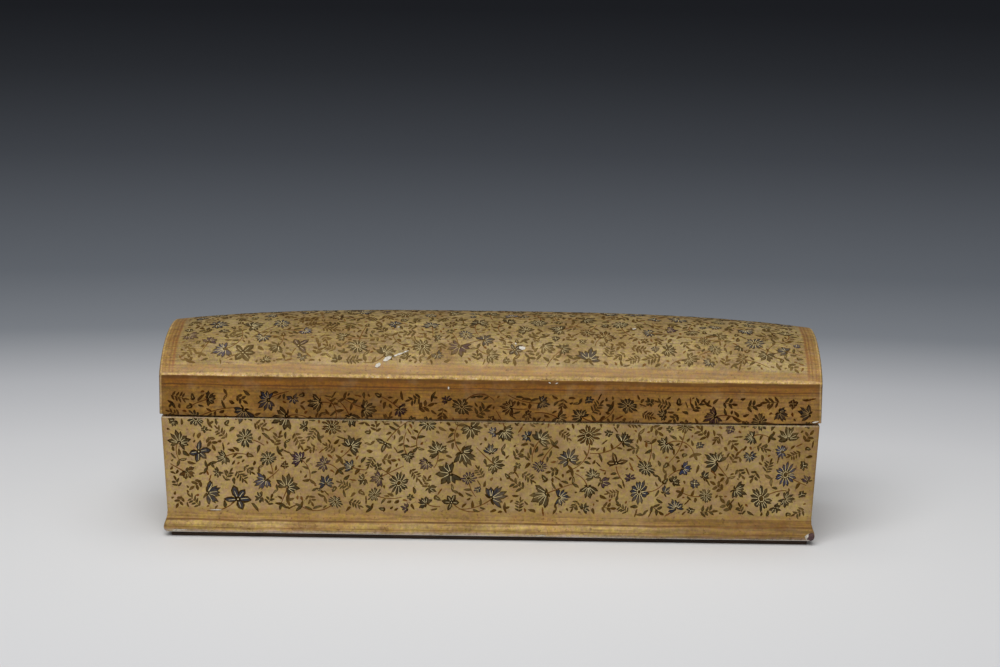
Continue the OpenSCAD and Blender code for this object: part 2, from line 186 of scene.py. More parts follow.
def gilt_lacquer(name, light, ground, brown, bands, rough=0.46, shine=0.12, streak=0.35,
                 depth=(0.77, 1.34), gesso=(), panel=False):
    """Gold paint on gesso under old varnish. bands are painted lines and browner or paler zones, each
    (axis, middle mm, half width mm, edge mm, colour, strength, broken). gesso is worn edges, each
    (axis, middle mm, half width mm, colour, cover). depth is how dark and how light the mottle is."""
    material, tree, mm = new_finish(name)
    cloud = node(tree, "ShaderNodeTexNoise", _0=mm, Scale=1 / 24, Detail=5.0, Roughness=0.6).outputs[0]
    tone = node(tree, "ShaderNodeValToRGB",
                {"stops": [(0.3, brown), (0.5, ground), (0.68, light)]}, Fac=cloud).outputs[0]
    speck = node(tree, "ShaderNodeTexNoise", _0=mm, Scale=1 / 1.5, Detail=5.0, Roughness=0.75).outputs[0]
    # The hand that drew the lines was not quite steady.
    shake = node(tree, "ShaderNodeTexNoise", _0=mm, Scale=1 / 16, Detail=1.0, Roughness=0.4).outputs[1]
    shake = node(tree, "ShaderNodeVectorMath", {"operation": "SUBTRACT"},
                 _0=shake, _1=(0.5, 0.5, 0.5)).outputs[0]
    drawn = node(tree, "ShaderNodeVectorMath", {"operation": "MULTIPLY_ADD"},
                 _0=shake, _1=(1.1, 1.1, 1.1), _2=mm).outputs[0]
    axes = node(tree, "ShaderNodeSeparateXYZ", _0=drawn).outputs
    reach = {"x": node(tree, "ShaderNodeMath", {"operation": "ABSOLUTE"}, _0=axes[0]).outputs[0],
             "side": axes[0], "z": axes[2]}
    if panel:
        flat = node(tree, "ShaderNodeUVMap", {"uv_map": "panel"}).outputs[0]
        flat = node(tree, "ShaderNodeVectorMath", {"operation": "MULTIPLY_ADD"},
                    _0=shake, _1=(1.1, 1.1, 0.0), _2=flat).outputs[0]
        reach["v"] = node(tree, "ShaderNodeSeparateXYZ", _0=flat).outputs[1]

    def distance(axis, middle):
        """How far a place is from the middle of a band, in mm."""
        off = node(tree, "ShaderNodeMath", {"operation": "SUBTRACT"}, _0=reach[axis], _1=middle).outputs[0]
        return node(tree, "ShaderNodeMath", {"operation": "ABSOLUTE"}, _0=off).outputs[0]

    for axis, middle, half, edge, colour, strength, broken in bands:
        share = node(tree, "ShaderNodeMapRange", {"interpolation_type": "SMOOTHSTEP"},
                     Value=distance(axis, middle), From_Min=half - edge / 2, From_Max=half + edge / 2,
                     To_Min=strength, To_Max=0.0).outputs[0]
        thin = node(tree, "ShaderNodeMapRange", Value=speck, From_Min=0.3, From_Max=0.55,
                    To_Min=1.0 - broken, To_Max=1.0).outputs[0]
        share = node(tree, "ShaderNodeMath", {"operation": "MULTIPLY"}, _0=share, _1=thin).outputs[0]
        tone = node(tree, "ShaderNodeMix", OVER, _0=share, _6=tone, _7=linear(colour)).outputs[2]
    # Brush marks run along the box, drawn a little wider than real bristles so that they show.
    along = node(tree, "ShaderNodeMapping", _0=mm, Scale=(0.06, 1.0, 1.0)).outputs[0]
    brush = node(tree, "ShaderNodeTexNoise", _0=along, Scale=1.0, Detail=3.0).outputs[0]
    mottle = node(tree, "ShaderNodeMath", {"operation": "MULTIPLY_ADD"},
                  _0=brush, _1=streak, _2=speck).outputs[0]
    shade = node(tree, "ShaderNodeMapRange", Value=mottle, From_Min=0.25 + streak / 2,
                 From_Max=0.75 + streak / 2, To_Min=depth[0], To_Max=depth[1]).outputs[0]
    tone = node(tree, "ShaderNodeMix", TINT, _0=1.0, _6=tone, _7=shade).outputs[2]
    # Small brown pits and fly spots of age.
    pits = node(tree, "ShaderNodeTexNoise", _0=mm, Scale=1 / 1.9, Detail=2.0, Roughness=0.7).outputs[0]
    pits = node(tree, "ShaderNodeMapRange", Value=pits, From_Min=0.64, From_Max=0.7,
                To_Min=0.0, To_Max=0.55).outputs[0]
    tone = node(tree, "ShaderNodeMix", OVER, _0=pits, _6=tone, _7=linear("#5C3C16")).outputs[2]
    # The gold leans to yellow or to pink from one small touch of the brush to the next.
    lean = node(tree, "ShaderNodeTexNoise", _0=mm, Scale=1 / 1.3, Detail=3.0, Roughness=0.6).outputs[0]
    lean = node(tree, "ShaderNodeValToRGB",
                {"stops": [(0.4, "#FFFFDA"), (0.6, "#F8EEFF")]}, Fac=lean).outputs[0]
    tone = node(tree, "ShaderNodeMix", TINT, _0=1.0, _6=tone, _7=lean).outputs[2]
    # Stains where the varnish has gone orange, and rubbed places where it has gone.
    patches = node(tree, "ShaderNodeTexNoise", _0=mm, Scale=1 / 8, Detail=3.0, Roughness=0.55).outputs[1]
    patches = node(tree, "ShaderNodeSeparateXYZ", _0=patches).outputs
    stain = node(tree, "ShaderNodeMapRange", Value=patches[1], From_Min=0.5, From_Max=0.68,
                 To_Min=0.0, To_Max=0.24).outputs[0]
    tone = node(tree, "ShaderNodeMix", TINT, _0=stain, _6=tone, _7=linear("#EDBD78")).outputs[2]
    rubbed = node(tree, "ShaderNodeMapRange", Value=patches[2], From_Min=0.52, From_Max=0.7,
                  To_Min=0.0, To_Max=0.3).outputs[0]
    tone = node(tree, "ShaderNodeMix", {"data_type": "RGBA", "blend_type": "SCREEN"},
                _0=rubbed, _6=tone, _7=linear("#7E7058")).outputs[2]
    # White gesso shows where handling wore the paint through.
    for axis, middle, half, colour, cover in gesso:
        near = node(tree, "ShaderNodeMapRange", Value=distance(axis, middle), From_Min=0.0, From_Max=half,
                    To_Min=cover, To_Max=-0.2).outputs[0]
        worn = node(tree, "ShaderNodeMath", {"operation": "ADD"}, _0=near, _1=speck).outputs[0]
        worn = node(tree, "ShaderNodeMapRange", Value=worn, From_Min=0.9, From_Max=1.0).outputs[0]
        tone = node(tree, "ShaderNodeMix", OVER, _0=worn, _6=tone, _7=linear(colour)).outputs[2]
    wave = node(tree, "ShaderNodeTexNoise", _0=mm, Scale=1 / 15, Detail=2.0).outputs[0]
    lift = node(tree, "ShaderNodeBump", Strength=0.7, Distance=0.001, Height=wave).outputs[0]
    lift = node(tree, "ShaderNodeBump", Strength=0.5, Distance=0.00014, Height=mottle, Normal=lift).outputs[0]
    gloss = node(tree, "ShaderNodeMapRange", Value=speck, From_Min=0.3, From_Max=0.7,
                 To_Min=rough - 0.08, To_Max=rough + 0.1).outputs[0]
    skin = node(tree, "ShaderNodeBsdfPrincipled", Base_Color=tone, Roughness=gloss, Metallic=shine,
                Specular_IOR_Level=0.35, Coat_Weight=0.06, Coat_Roughness=0.3, Normal=lift)
    node(tree, "ShaderNodeOutputMaterial", Surface=skin.outputs[0])
    return material


# Gold paint on gesso: a warm, softly clouded ground, browner at the corners and over the foot.
wall_gilt = gilt_lacquer(
    "gold_painted_gesso", "#B29A67", "#A48A58", "#927540",
    bands=[("side", -130.0, 60.0, 90.0, "#C2A672", 0.45, 0.1), ("z", 11.6, 1.4, 1.6, "#A07F45", 0.7, 0.2),
           ("x", 139.5, 2.0, 3.0, "#86622E", 0.5, 0.3),
           ("z", RIM_Z - 0.3, 0.32, 0.3, "#C9BA98", 0.62, 0.5)],
    gesso=[("z", RIM_Z, 0.8, "#D4C8AE", 0.5)])

# Plain dark lacquer, as on the inside: a deep red-brown, satin, with faint brush marks and rubbed spots.
dark_lacquer, tree, mm = new_finish("dark_red_brown_lacquer")
along = node(tree, "ShaderNodeMapping", _0=mm, Scale=(0.05, 0.8, 0.8)).outputs[0]
brush = node(tree, "ShaderNodeTexNoise", _0=along, Scale=1.0, Detail=4.0).outputs[0]
rubbed = node(tree, "ShaderNodeTexNoise", _0=mm, Scale=1 / 18, Detail=4.0, Roughness=0.65).outputs[0]
tone = node(tree, "ShaderNodeValToRGB",
            {"stops": [(0.3, "#38150F"), (0.55, "#511F15"), (0.75, "#6B3220")]}, Fac=rubbed).outputs[0]
streak = node(tree, "ShaderNodeMapRange", Value=brush, From_Min=0.35, From_Max=0.65,
              To_Min=0.85, To_Max=1.12).outputs[0]
tone = node(tree, "ShaderNodeMix", TINT, _0=1.0, _6=tone, _7=streak).outputs[2]
gloss = node(tree, "ShaderNodeMapRange", Value=rubbed, From_Min=0.3, From_Max=0.7,
             To_Min=0.3, To_Max=0.5).outputs[0]
lift = node(tree, "ShaderNodeBump", Strength=0.3, Distance=0.0001, Height=brush).outputs[0]
skin = node(tree, "ShaderNodeBsdfPrincipled", Base_Color=tone, Roughness=gloss, Coat_Weight=0.15,
            Coat_Roughness=0.25, Normal=lift)
node(tree, "ShaderNodeOutputMaterial", Surface=skin.outputs[0])


def wall_corner(x, y, z):
    """True at the upright outside corners and the outer rim of the walls."""
    outer_x = abs(x) > wall_x(z) - 0.3
    outer_y = abs(y) > wall_y(z) - 0.3
    return (outer_x and outer_y) or (z > RIM_Z - 0.5 and (outer_x or outer_y))


for side in ("front", "back", "left", "right"):
    softened(side + "_wall", "box", wall_gilt, 0.7, wall_corner, 3, lining=dark_lacquer)

# Foot mouldings
# The foot: four moulded strips let into the walls all round and mitred at the corners, a bead
# that sweeps up into the wall, burnished gold, worn back to the white gesso along the lower edge.

# Burnished gold paint: shinier than the walls, a brown line over the bead, darker at the right.
foot_gilt = gilt_lacquer(
    "burnished_gold_moulding", "#C4AA72", "#B4985F", "#9A7A45",
    bands=[("z", 9.9, 1.9, 1.2, "#A4834A", 0.8, 0.1), ("z", 7.8, 0.4, 0.5, "#6E4A1C", 0.9, 0.25),
           ("z", 8.9, 0.2, 0.3, "#8E6C34", 0.5, 0.5), ("z", 4.7, 0.25, 0.4, "#8A672C", 0.65, 0.4),
           ("z", 2.6, 1.0, 0.7, "#C2B3A0", 0.75, 0.5),
           ("side", 150.0, 80.0, 70.0, "#785422", 0.68, 0.2), ("x", 141.0, 2.5, 2.5, "#84602B", 0.45, 0.3)],
    rough=0.45, shine=0.28, streak=1.0, depth=(0.65, 1.45), gesso=[("z", 2.2, 1.5, "#CFC6BA", 0.7)])

# Section of the strip, as (height, how far it stands out from the wall): lip, bead and hollow. Behind
# its face it is let into the wall.
FOOT = [(2.2, 0.87), (2.64, 1.37), (3.17, 1.71), (3.78, 1.86), (4.31, 1.9), (5.0, 1.81), (5.7, 1.62),
        (6.6, 1.25), (7.5, 0.87), (8.4, 0.55), (9.2, 0.28), (10.1, 0.1), (11.0, 0.02)]
FOOT_LOW = FOOT[0][0]
FOOT_TOP = FOOT[-1][0]
FOOT_LET = 0.97


def foot_point(side, z, out, end, short):
    """A point of the moulding's face, short mm before one of a side's two corners."""
    x, y = wall_x(z) + out, wall_y(z) + out
    return {"front": (end * (x - short), -y, z), "back": (end * (short - x), y, z),
            "left": (-x, end * (short - y), z), "right": (x, end * (y - short), z)}[side]


# The corners are rubbed round: (distance from the corner, how much less the bead stands out there).
rubbed_corner = [(0.0, 0.35), (0.35, 0.15), (0.9, 0.04), (1.8, 0.0)]
for side in ("front", "back", "left", "right"):
    bm = bmesh.new()
    columns = []
    # Columns of points from corner to corner, given by their distance from one of the corners.
    half = 137.0 if side in ("front", "back") else 39.0
    places = [(-1, short, rub) for short, rub in rubbed_corner]
    places += [(-1, half + x, 0.0) for x in np.linspace(4 - half, half - 4, 37)]
    places += [(1, short, rub) for short, rub in reversed(rubbed_corner)]
    for end, short, rub in places:
        column = [foot_point(side, z, out - rub * min(1.0, out), end, short) for z, out in FOOT]
        column += [foot_point(side, z, -FOOT_LET, end, short) for z in (FOOT_TOP, FOOT_LOW)]
        columns.append([bm.verts.new((x / 1000, y / 1000, z / 1000)) for x, y, z in column])
    for left, right in zip(columns, columns[1:]):
        for i in range(len(left)):
            j = (i + 1) % len(left)
            bm.faces.new([left[i], right[i], right[j], left[j]])
    bm.faces.new(columns[0])
    bm.faces.new(columns[-1][::-1])
    for face in bm.faces:
        face.smooth = True
    bmesh.ops.recalc_face_normals(bm, faces=bm.faces)
    mesh = bpy.data.meshes.new(side + "_foot_made")
    bm.to_mesh(mesh)
    bm.free()
    mesh.set_sharp_from_angle(angle=math.radians(50))
    mesh.materials.append(foot_gilt)
    add_piece(mesh, "box", side + "_foot")

# Inside fittings
# The lips stand proud of the rim and keep the lid in place; the partition, the cleats and the
# drilled board hold the inkwell. Thin boards, glued in, with the plain dark lacquer of the inside,
# and only their upper edges rubbed round.

for name in ("front_lip", "back_lip", "left_lip", "right_lip"):
    softened(name, "box", dark_lacquer, 0.5, lambda x, y, z: z > RIM_Z + 3.5)
for name in ("ink_partition", "seat_cleats"):
    softened(name, "box", dark_lacquer, 0.4, lambda x, y, z: z > 21.5)
softened("inkwell_seat", "box", dark_lacquer, 0.0, curved=True)

# Inkwell and cap
# A small turned brass pot that hangs by its flange in the board, and its lift-off cap with a
# knob. Turned on a lathe, then dulled and spotted brown with age.

# Aged brass: a turned metal with fine rings, warm yellow under brown tarnish in the hollows.
aged_brass, tree, mm = new_finish("aged_turned_brass")
cloud = node(tree, "ShaderNodeTexNoise", _0=mm, Scale=1 / 5, Detail=5.0, Roughness=0.65).outputs[0]
tone = node(tree, "ShaderNodeValToRGB",
            {"stops": [(0.3, "#6E4E26"), (0.5, "#A07C3E"), (0.7, "#C2A058")]}, Fac=cloud).outputs[0]
gloss = node(tree, "ShaderNodeMapRange", Value=cloud, From_Min=0.3, From_Max=0.7,
             To_Min=0.5, To_Max=0.28).outputs[0]
turned = node(tree, "ShaderNodeTexNoise", _0=mm, Scale=1 / 0.7, Detail=2.0).outputs[0]
lift = node(tree, "ShaderNodeBump", Strength=0.25, Distance=0.00008, Height=turned).outputs[0]
skin = node(tree, "ShaderNodeBsdfPrincipled", Base_Color=tone, Metallic=1.0, Roughness=gloss, Normal=lift)
node(tree, "ShaderNodeOutputMaterial", Surface=skin.outputs[0])

softened("inkwell", "box", aged_brass, 0.25, curved=True)
softened("inkwell_cap", "cap", aged_brass, 0.25, curved=True)

# Hinges
# Two small brass butt hinges let into the back edge, each a pair of leaves rolled round a pin
# and held by small nails. Sheet brass, the same dull metal as the inkwell.

for name in ("left_base_leaf", "right_base_leaf", "base_leaf_nails", "hinge_pins"):
    softened(name, "box", aged_brass, 0.0, curved=True)
for name in ("left_lid_leaf", "right_lid_leaf", "lid_leaf_nails"):
    softened(name, "lid", aged_brass, 0.0, curved=True)

# Lid sides
# The upright sides of the lid: two rails and two end boards under the vault, their lower edge
# bowed a little by age. Gold paint as on the walls, but darker: partly browner varnish, partly painted shade.

# Half length and half depth of the lid, how far its corners are worn round, and the arris's height.
LID_X = 140.0
LID_Y = 42.0
LID_ROUND = 1.1
ARRIS_Z = RIM_Z + 18.3


def lid_edge(x):
    """Height of the lid's lower edge, which has risen towards the ends, in mm."""
    return RIM_Z + 0.3 + 0.9 * (np.abs(x) / LID_X) ** 4


# Browned gold paint with painted shade: deeper than the walls, partly from browner varnish and partly
# painted shade, dark under the arris and orange-brown in the band below.
rail_gilt = gilt_lacquer(
    "browned_gold_paint", "#98702E", "#855F1F", "#6E4A0E",
    bands=[("side", 120.0, 40.0, 80.0, "#AE884C", 0.5, 0.1),
           ("z", ARRIS_Z - 3.2, 1.9, 1.4, "#8C5A12", 0.75, 0.35),
           ("z", ARRIS_Z - 1.2, 0.95, 0.9, "#66400F", 0.8, 0.5),
           ("z", ARRIS_Z - 4.2, 0.25, 0.35, "#5C370C", 0.85, 0.3),
           ("z", ARRIS_Z - 5.4, 0.3, 0.4, "#70481A", 0.5, 0.5),
           # Painted highlight on the worn arris: a pale gold line, partly rubbed paint and partly painted
           # highlight.
           ("z", ARRIS_Z, 0.35, 0.5, "#C8A35C", 0.8, 0.4),
           ("x", LID_X - 1.0, 1.4, 2.4, "#6A4A20", 0.4, 0.3),
           # Painted highlight on the worn upright corners: a thin pale line, partly rubbed paint and partly
           # painted highlight.
           ("x", LID_X - 0.75, 0.35, 0.35, "#C4A56C", 0.8, 0.3),
           # Painted shade: a dark band along the lid's lower edge, where the gap at the seam lies in shadow.
           ("z", RIM_Z + 0.2, 0.6, 0.7, "#38230B", 0.75, 0.3)],
    streak=0.8, depth=(0.6, 1.48), gesso=[("z", ARRIS_Z, 0.9, "#E2D3AC", 0.4)])


def lid_corner(x, y, z):
    """True at the upright outside corners of the lid's sides."""
    return abs(x) > LID_X - 0.2 and abs(y) > LID_Y - 0.2


for name in ("lid_front_rail", "lid_back_rail", "lid_left_end", "lid_right_end"):
    softened(name, "lid", rail_gilt, LID_ROUND, lid_corner, 4, lining=dark_lacquer)

# Lid top
# The vaulted top: one moulded shell of wood and gesso on the rails and ends, higher along the
# middle of the box than at its ends, with a worn arris round its foot.

# The arch is cut from a curve that is a little wider than the lid and a little leaner than an ellipse,
# whose power would be 0.5.
WIDEN = 1.02
POWER = 0.54
ARCH_LOW = (1 - 1 / WIDEN ** 2) ** POWER
# Rise of the vault over the arris at its ends, how much more it has at mid length, and about its mean.
END_RISE = 13.9
CAMBER = 6.1
MEAN_RISE = 18.4
# How deep the shell is, which is the height of its upright foot too, and half length and half depth of
# the hollow under it.
SHELL_DEEP = 4.0
HOLLOW_X = 135.4
HOLLOW_Y = 37.4


def arch(q):
    """Shape of the vault across the box, 0 at the arris (q = 1 or -1) and 1 at the middle."""
    return ((1 - np.clip(np.abs(q), 0, 1) ** 2 / WIDEN ** 2) ** POWER - ARCH_LOW) / (1 - ARCH_LOW)


def vault_rise(x):
    """Height of the vault over the arris at length x, in mm."""
    return END_RISE + CAMBER * (1 - (np.abs(x) / LID_X) ** 3)


# Distances over the vault from the front arris, by which its bands and sprigs are laid out.
across = -np.cos(np.linspace(0, math.pi, 801))
steps = np.hypot(np.diff(LID_Y * across), np.diff(MEAN_RISE * arch(across)))
over = np.concatenate([[0.0], np.cumsum(steps)])
VAULT_WIDTH = float(over[-1])


def vault_point(u, v, lift=0.0):
    """Points of the vault, u mm along the box and v mm over it from the front arris."""
    def bare(a, b):
        """The point itself, before it is lifted off the surface."""
        q = np.interp(b, over, across)
        return np.stack([a, LID_Y * q, ARRIS_Z + vault_rise(a) * arch(q)], axis=-1)
    here = bare(u, v)
    ahead = bare(u + 0.2, v) - bare(u - 0.2, v)
    uphill = bare(u, np.minimum(v + 0.2, VAULT_WIDTH)) - bare(u, np.maximum(v - 0.2, 0.0))
    out = np.cross(ahead, uphill)
    return here + np.asarray(lift)[..., None] * out / np.linalg.norm(out, axis=-1, keepdims=True)


# Pale gold paint: the best lit and most rubbed part, with plain borders and end stripes, and painted
# highlights along its worn arrises and end edges.
vault_gilt = gilt_lacquer(
    "rubbed_gold_paint", "#A99462", "#988150", "#846837",
    bands=[("x", LID_X - 2.0, 4.4, 1.4, "#A07A3C", 0.8, 0.25),
           ("v", 1.5, 4.0, 1.4, "#8F6D38", 0.85, 0.4),
           ("v", VAULT_WIDTH - 1.5, 4.0, 1.4, "#8F6D38", 0.85, 0.4),
           ("x", LID_X - 2.6, 0.25, 0.4, "#80592A", 0.6, 0.6),
           ("x", LID_X - 4.2, 0.35, 0.4, "#7C5526", 0.7, 0.55),
           ("x", LID_X - 5.6, 0.5, 0.6, "#84562A", 0.7, 0.5),
           # Painted highlight on the worn end edges: a thin pale line, partly rubbed paint and partly painted
           # highlight.
           ("x", LID_X - 0.75, 0.35, 0.35, "#CDAE72", 0.8, 0.4),
           ("v", 3.3, 0.25, 0.4, "#8E6A32", 0.5, 0.6),
           ("v", VAULT_WIDTH - 3.3, 0.25, 0.4, "#8E6A32", 0.5, 0.6),
           # Painted highlights along both worn arrises: pale gold bands, partly rubbed paint and partly
           # painted highlight.
           ("v", 0.3, 0.9, 1.0, "#CFAF74", 0.85, 0.6),
           ("v", VAULT_WIDTH - 0.3, 0.9, 1.0, "#CFAF74", 0.85, 0.6)],
    gesso=[("v", 0.0, 1.1, "#EADDBC", 0.41), ("v", VAULT_WIDTH, 1.1, "#EADDBC", 0.41),
           ("x", LID_X, 1.0, "#E2D5B5", 0.40)],
    shine=0.22, streak=0.7, depth=(0.62, 1.46), panel=True)

bm = bmesh.new()
panel_uv = bm.loops.layers.uv.new("panel")
# Both end edges are worn round: how far the surface falls back at each distance from the end.
turn_in = [(LID_X - d, LID_ROUND - math.sqrt(LID_ROUND ** 2 - (LID_ROUND - d) ** 2))
           for d in (0.0, 0.12, 0.35, 0.7, LID_ROUND)]
stations = [(-x, inset) for x, inset in turn_in]
stations += [(x, 0.0) for x in np.linspace(-136, 136, 69)]
stations += [(x, inset) for x, inset in reversed(turn_in)]
rows = []
for x, inset in stations:
    ring = [(-LID_Y + inset, ARRIS_Z - down, -down) for down in (SHELL_DEEP, 0.8)]
    for v in np.concatenate([[0.0, 0.5, 1.2, 2.2], np.linspace(3.4, VAULT_WIDTH - 3.4, 61),
                             VAULT_WIDTH - np.array([2.2, 1.2, 0.5, 0.0])]):
        _, y, z = vault_point(np.array(x), np.array(v), -inset)
        # The arris itself is rubbed down a little.
        if min(v, VAULT_WIDTH - v) < 0.6:
            y, z = y * (1 - 0.0022), z - 0.1
        ring.append((y, z, v))
    ring += [(LID_Y - inset, ARRIS_Z - down, VAULT_WIDTH + down) for down in (0.8, SHELL_DEEP)]
    rows.append([(bm.verts.new((x / 1000, y / 1000, z / 1000)), x, v) for y, z, v in ring])
under = []
for x in (-LID_X, -HOLLOW_X, *np.linspace(-130, 130, 27), HOLLOW_X, LID_X):
    flat = min(abs(x), HOLLOW_X)
    ring = []
    for q in -np.cos(np.linspace(0, math.pi, 33)):
        ring.append((x, HOLLOW_Y * q, ARRIS_Z - SHELL_DEEP + float(vault_rise(flat) * arch(q))))
    under.append([(bm.verts.new((x / 1000, y / 1000, z / 1000)), x, 0.0) for x, y, z in ring])


def patch(loop):
    """One face of the vault with its place along and over the vault in its own map."""
    face = bm.faces.new([vert for vert, _, _ in loop])
    face.smooth = True
    for corner, (_, u, v) in zip(face.loops, loop):
        corner[panel_uv].uv = (u, v)


for low, high in zip(rows, rows[1:]):
    for i in range(len(low) - 1):
        patch([low[i], high[i], high[i + 1], low[i + 1]])
for low, high in zip(under, under[1:]):
    for i in range(len(low) - 1):
        patch([low[i + 1], high[i + 1], high[i], low[i]])
# The flat foot of the shell along both sides, and its two end faces.
for end in (0, -1):
    patch([row[end] for row in rows] + [row[end] for row in reversed(under)])
for end in (0, -1):
    patch(rows[end] + under[end][::-1])
bmesh.ops.triangulate(bm, faces=[f for f in bm.faces if len(f.verts) > 4])
bmesh.ops.recalc_face_normals(bm, faces=bm.faces)
shell = bpy.data.meshes.new("lid_top_made")
bm.to_mesh(shell)
bm.free()
shell.set_sharp_from_angle(angle=math.radians(38))
shell.materials.append(vault_gilt)
# The upright foot of the shell carries the rails' darker paint, browner varnish and painted shade, over
# the joint; its hollow is plain.
shell.materials.append(rail_gilt)
shell.materials.append(dark_lacquer)
chart = shell.uv_layers["panel"].uv
for face in shell.polygons:
    over_edge = [chart[i].vector[1] for i in face.loop_indices]
    if max(over_edge) < 0.05 or min(over_edge) > VAULT_WIDTH - 0.05:
        face.material_index = 1 if min(over_edge) < 0 or max(over_edge) > 0 else 2
add_piece(shell, "lid", "lid_top")

# Painted sprigs
# Scattered flower sprigs brushed on the gold: brown-black outlines and leaves, slate and indigo
# petals, pale gold lines. A traditional all-over pattern, here a seeded scatter of brush strokes.

INK, PETAL, LINE = 0, 1, 2
hand = random.Random(5)
# How wide a stroke is along its length, as (share of the length, half width as a share of the width).
STROKES = {"leaf": ((0.0, 0.12), (0.24, 0.42), (0.52, 0.5), (0.8, 0.36), (1.0, 0.08)),
           "petal": ((0.0, 0.2), (0.4, 0.48), (0.72, 0.44), (1.0, 0.06)),
           "fill": ((0.0, 0.3), (0.55, 0.5), (1.0, 0.24)), "line": ((0.0, 0.5), (1.0, 0.3))}


def dab(sprig, paint, stroke, length, width, start=0.0, angle=0.0, bend=0.0, at=(0.0, 0.0)):
    """One brush stroke in mm, a strip from its narrow root to its tip, not quite even."""
    c, s = math.cos(angle), math.sin(angle)
    sides = []
    for t, half in STROKES[stroke]:
        y = start + t * length
        row = []
        for side in (-1, 1):
            x = bend * t * t + side * half * width * hand.uniform(0.82, 1.18)
            row.append((at[0] + x * c - y * s, at[1] + x * s + y * c))
        sides.append(row)
    for (l0, r0), (l1, r1) in zip(sides, sides[1:]):
        sprig.append((paint, [l0, r0, r1, l1]))


def petal(sprig, length, width, start=0.0, angle=0.0, bend=0.0, at=(0.0, 0.0)):
    """A petal drawn in ink and filled with thinner paint."""
    dab(sprig, INK, "petal", length, width, start, angle, bend, at)
    dab(sprig, PETAL, "fill", length * 0.66, width * 0.6, start + length * 0.17, angle, bend * 0.7, at)


def spot(sprig, paint, radius, at=(0.0, 0.0), sides=7):
    """One round touch of the brush."""
    outline = []
    for i in range(sides):
        far = radius * hand.uniform(0.86, 1.14)
        angle = 2 * math.pi * i / sides
        outline.append((at[0] + far * math.cos(angle), at[1] + far * math.sin(angle)))
    sprig.append((paint, outline))


def arc(sprig, radius, at, middle, reach, wide=0.24):
    """A fine pale line along the edge of a round petal or heart."""
    def rim(far, k):
        angle = middle + reach * k
        return at[0] + far * math.cos(angle), at[1] + far * math.sin(angle)
    for k in (-1.0, -0.33, 0.33):
        after = k + 0.67
        inner = radius - wide
        sprig.append((LINE, [rim(inner, k), rim(radius, k), rim(radius, after), rim(inner, after)]))


def tilted(sprig, share=0.8):
    """A flower turned a little away from the eye."""
    return [(paint, [(x, share * y) for x, y in outline]) for paint, outline in sprig]


def fan(rng, petals, spread, length, width):
    """A flower seen from the side: close petals over two sepals, with pale lines between them."""
    sprig = []
    root = (0.0, -0.45 * length)
    step = 2 * math.radians(spread) / (petals - 1)
    for i in range(petals):
        angle = i * step - math.radians(spread) + rng.uniform(-0.12, 0.12)
        long = length * rng.uniform(0.78, 1.12) * (1 - 0.14 * abs(angle))
        wide = width * rng.uniform(0.95, 1.3)
        petal(sprig, long, wide, 0.3, angle, rng.uniform(-0.3, 0.3) - 0.35 * angle, root)
        if i and rng.random() < 0.8:
            dab(sprig, LINE, "line", long * rng.uniform(0.5, 0.7), 0.22, 0.8, angle - step / 2, at=root)
    for side in (-1, 1):
        long = rng.uniform(1.5, 2.4)
        dab(sprig, INK, "leaf", long, 0.85, 0.1, side * rng.uniform(1.8, 2.4), side * 0.4, root)
    return sprig


def daisy(rng, petals, heart, width):
    """A round flower of many narrow petals with a ringed heart."""
    sprig = []
    spot(sprig, INK, heart + 1.1, sides=10)
    for i in range(petals):
        angle = 2 * math.pi * i / petals + rng.uniform(-0.14, 0.14)
        long = rng.uniform(2.1, 3.3)
        petal(sprig, long, width * rng.uniform(0.9, 1.2), heart, angle, rng.uniform(-0.3, 0.3))
        dab(sprig, LINE, "line", long * 0.7, 0.22, heart, angle + math.pi / petals)
    for middle in (1.0, 4.0):
        arc(sprig, heart * 0.85, (0, 0), middle, 1.4)
    return tilted(sprig)


def lobed(rng, petals, spread):
    """A few broad petals, loosely set, each with a pale vein, and some stamens."""
    sprig = []
    root = (0.0, -1.0)
    for i in range(petals):
        angle = math.radians(spread) * (2 * i / (petals - 1) - 1) + rng.uniform(-0.2, 0.2)
        long = rng.uniform(3.6, 5.0)
        petal(sprig, long, rng.uniform(2.0, 2.7), 0.2, angle, rng.uniform(-0.8, 0.8), root)
        vein = long * rng.uniform(0.4, 0.6)
        dab(sprig, LINE, "line", vein, 0.2, 1.0, angle + rng.uniform(-0.1, 0.1), at=root)
        dab(sprig, INK, "line", rng.uniform(1.8, 2.8), 0.34, 0.6, angle + rng.uniform(0.4, 0.6), at=root)
    spot(sprig, INK, 0.8, root)
    spot(sprig, LINE, 0.3, root, 5)
    return sprig


def posy(rng, petals):
    """A small flower of short petals."""
    sprig = []
    spot(sprig, INK, 1.0)
    for i in range(petals):
        angle = 2 * math.pi * i / petals + rng.uniform(-0.25, 0.25)
        petal(sprig, rng.uniform(1.4, 2.3), rng.uniform(1.1, 1.5), 0.35, angle, rng.uniform(-0.3, 0.3))
        if i % 2:
            dab(sprig, LINE, "line", 1.0, 0.22, 0.5, angle + math.pi / petals)
    spot(sprig, LINE, 0.32, sides=5)
    return tilted(sprig, rng.uniform(0.75, 1.0))


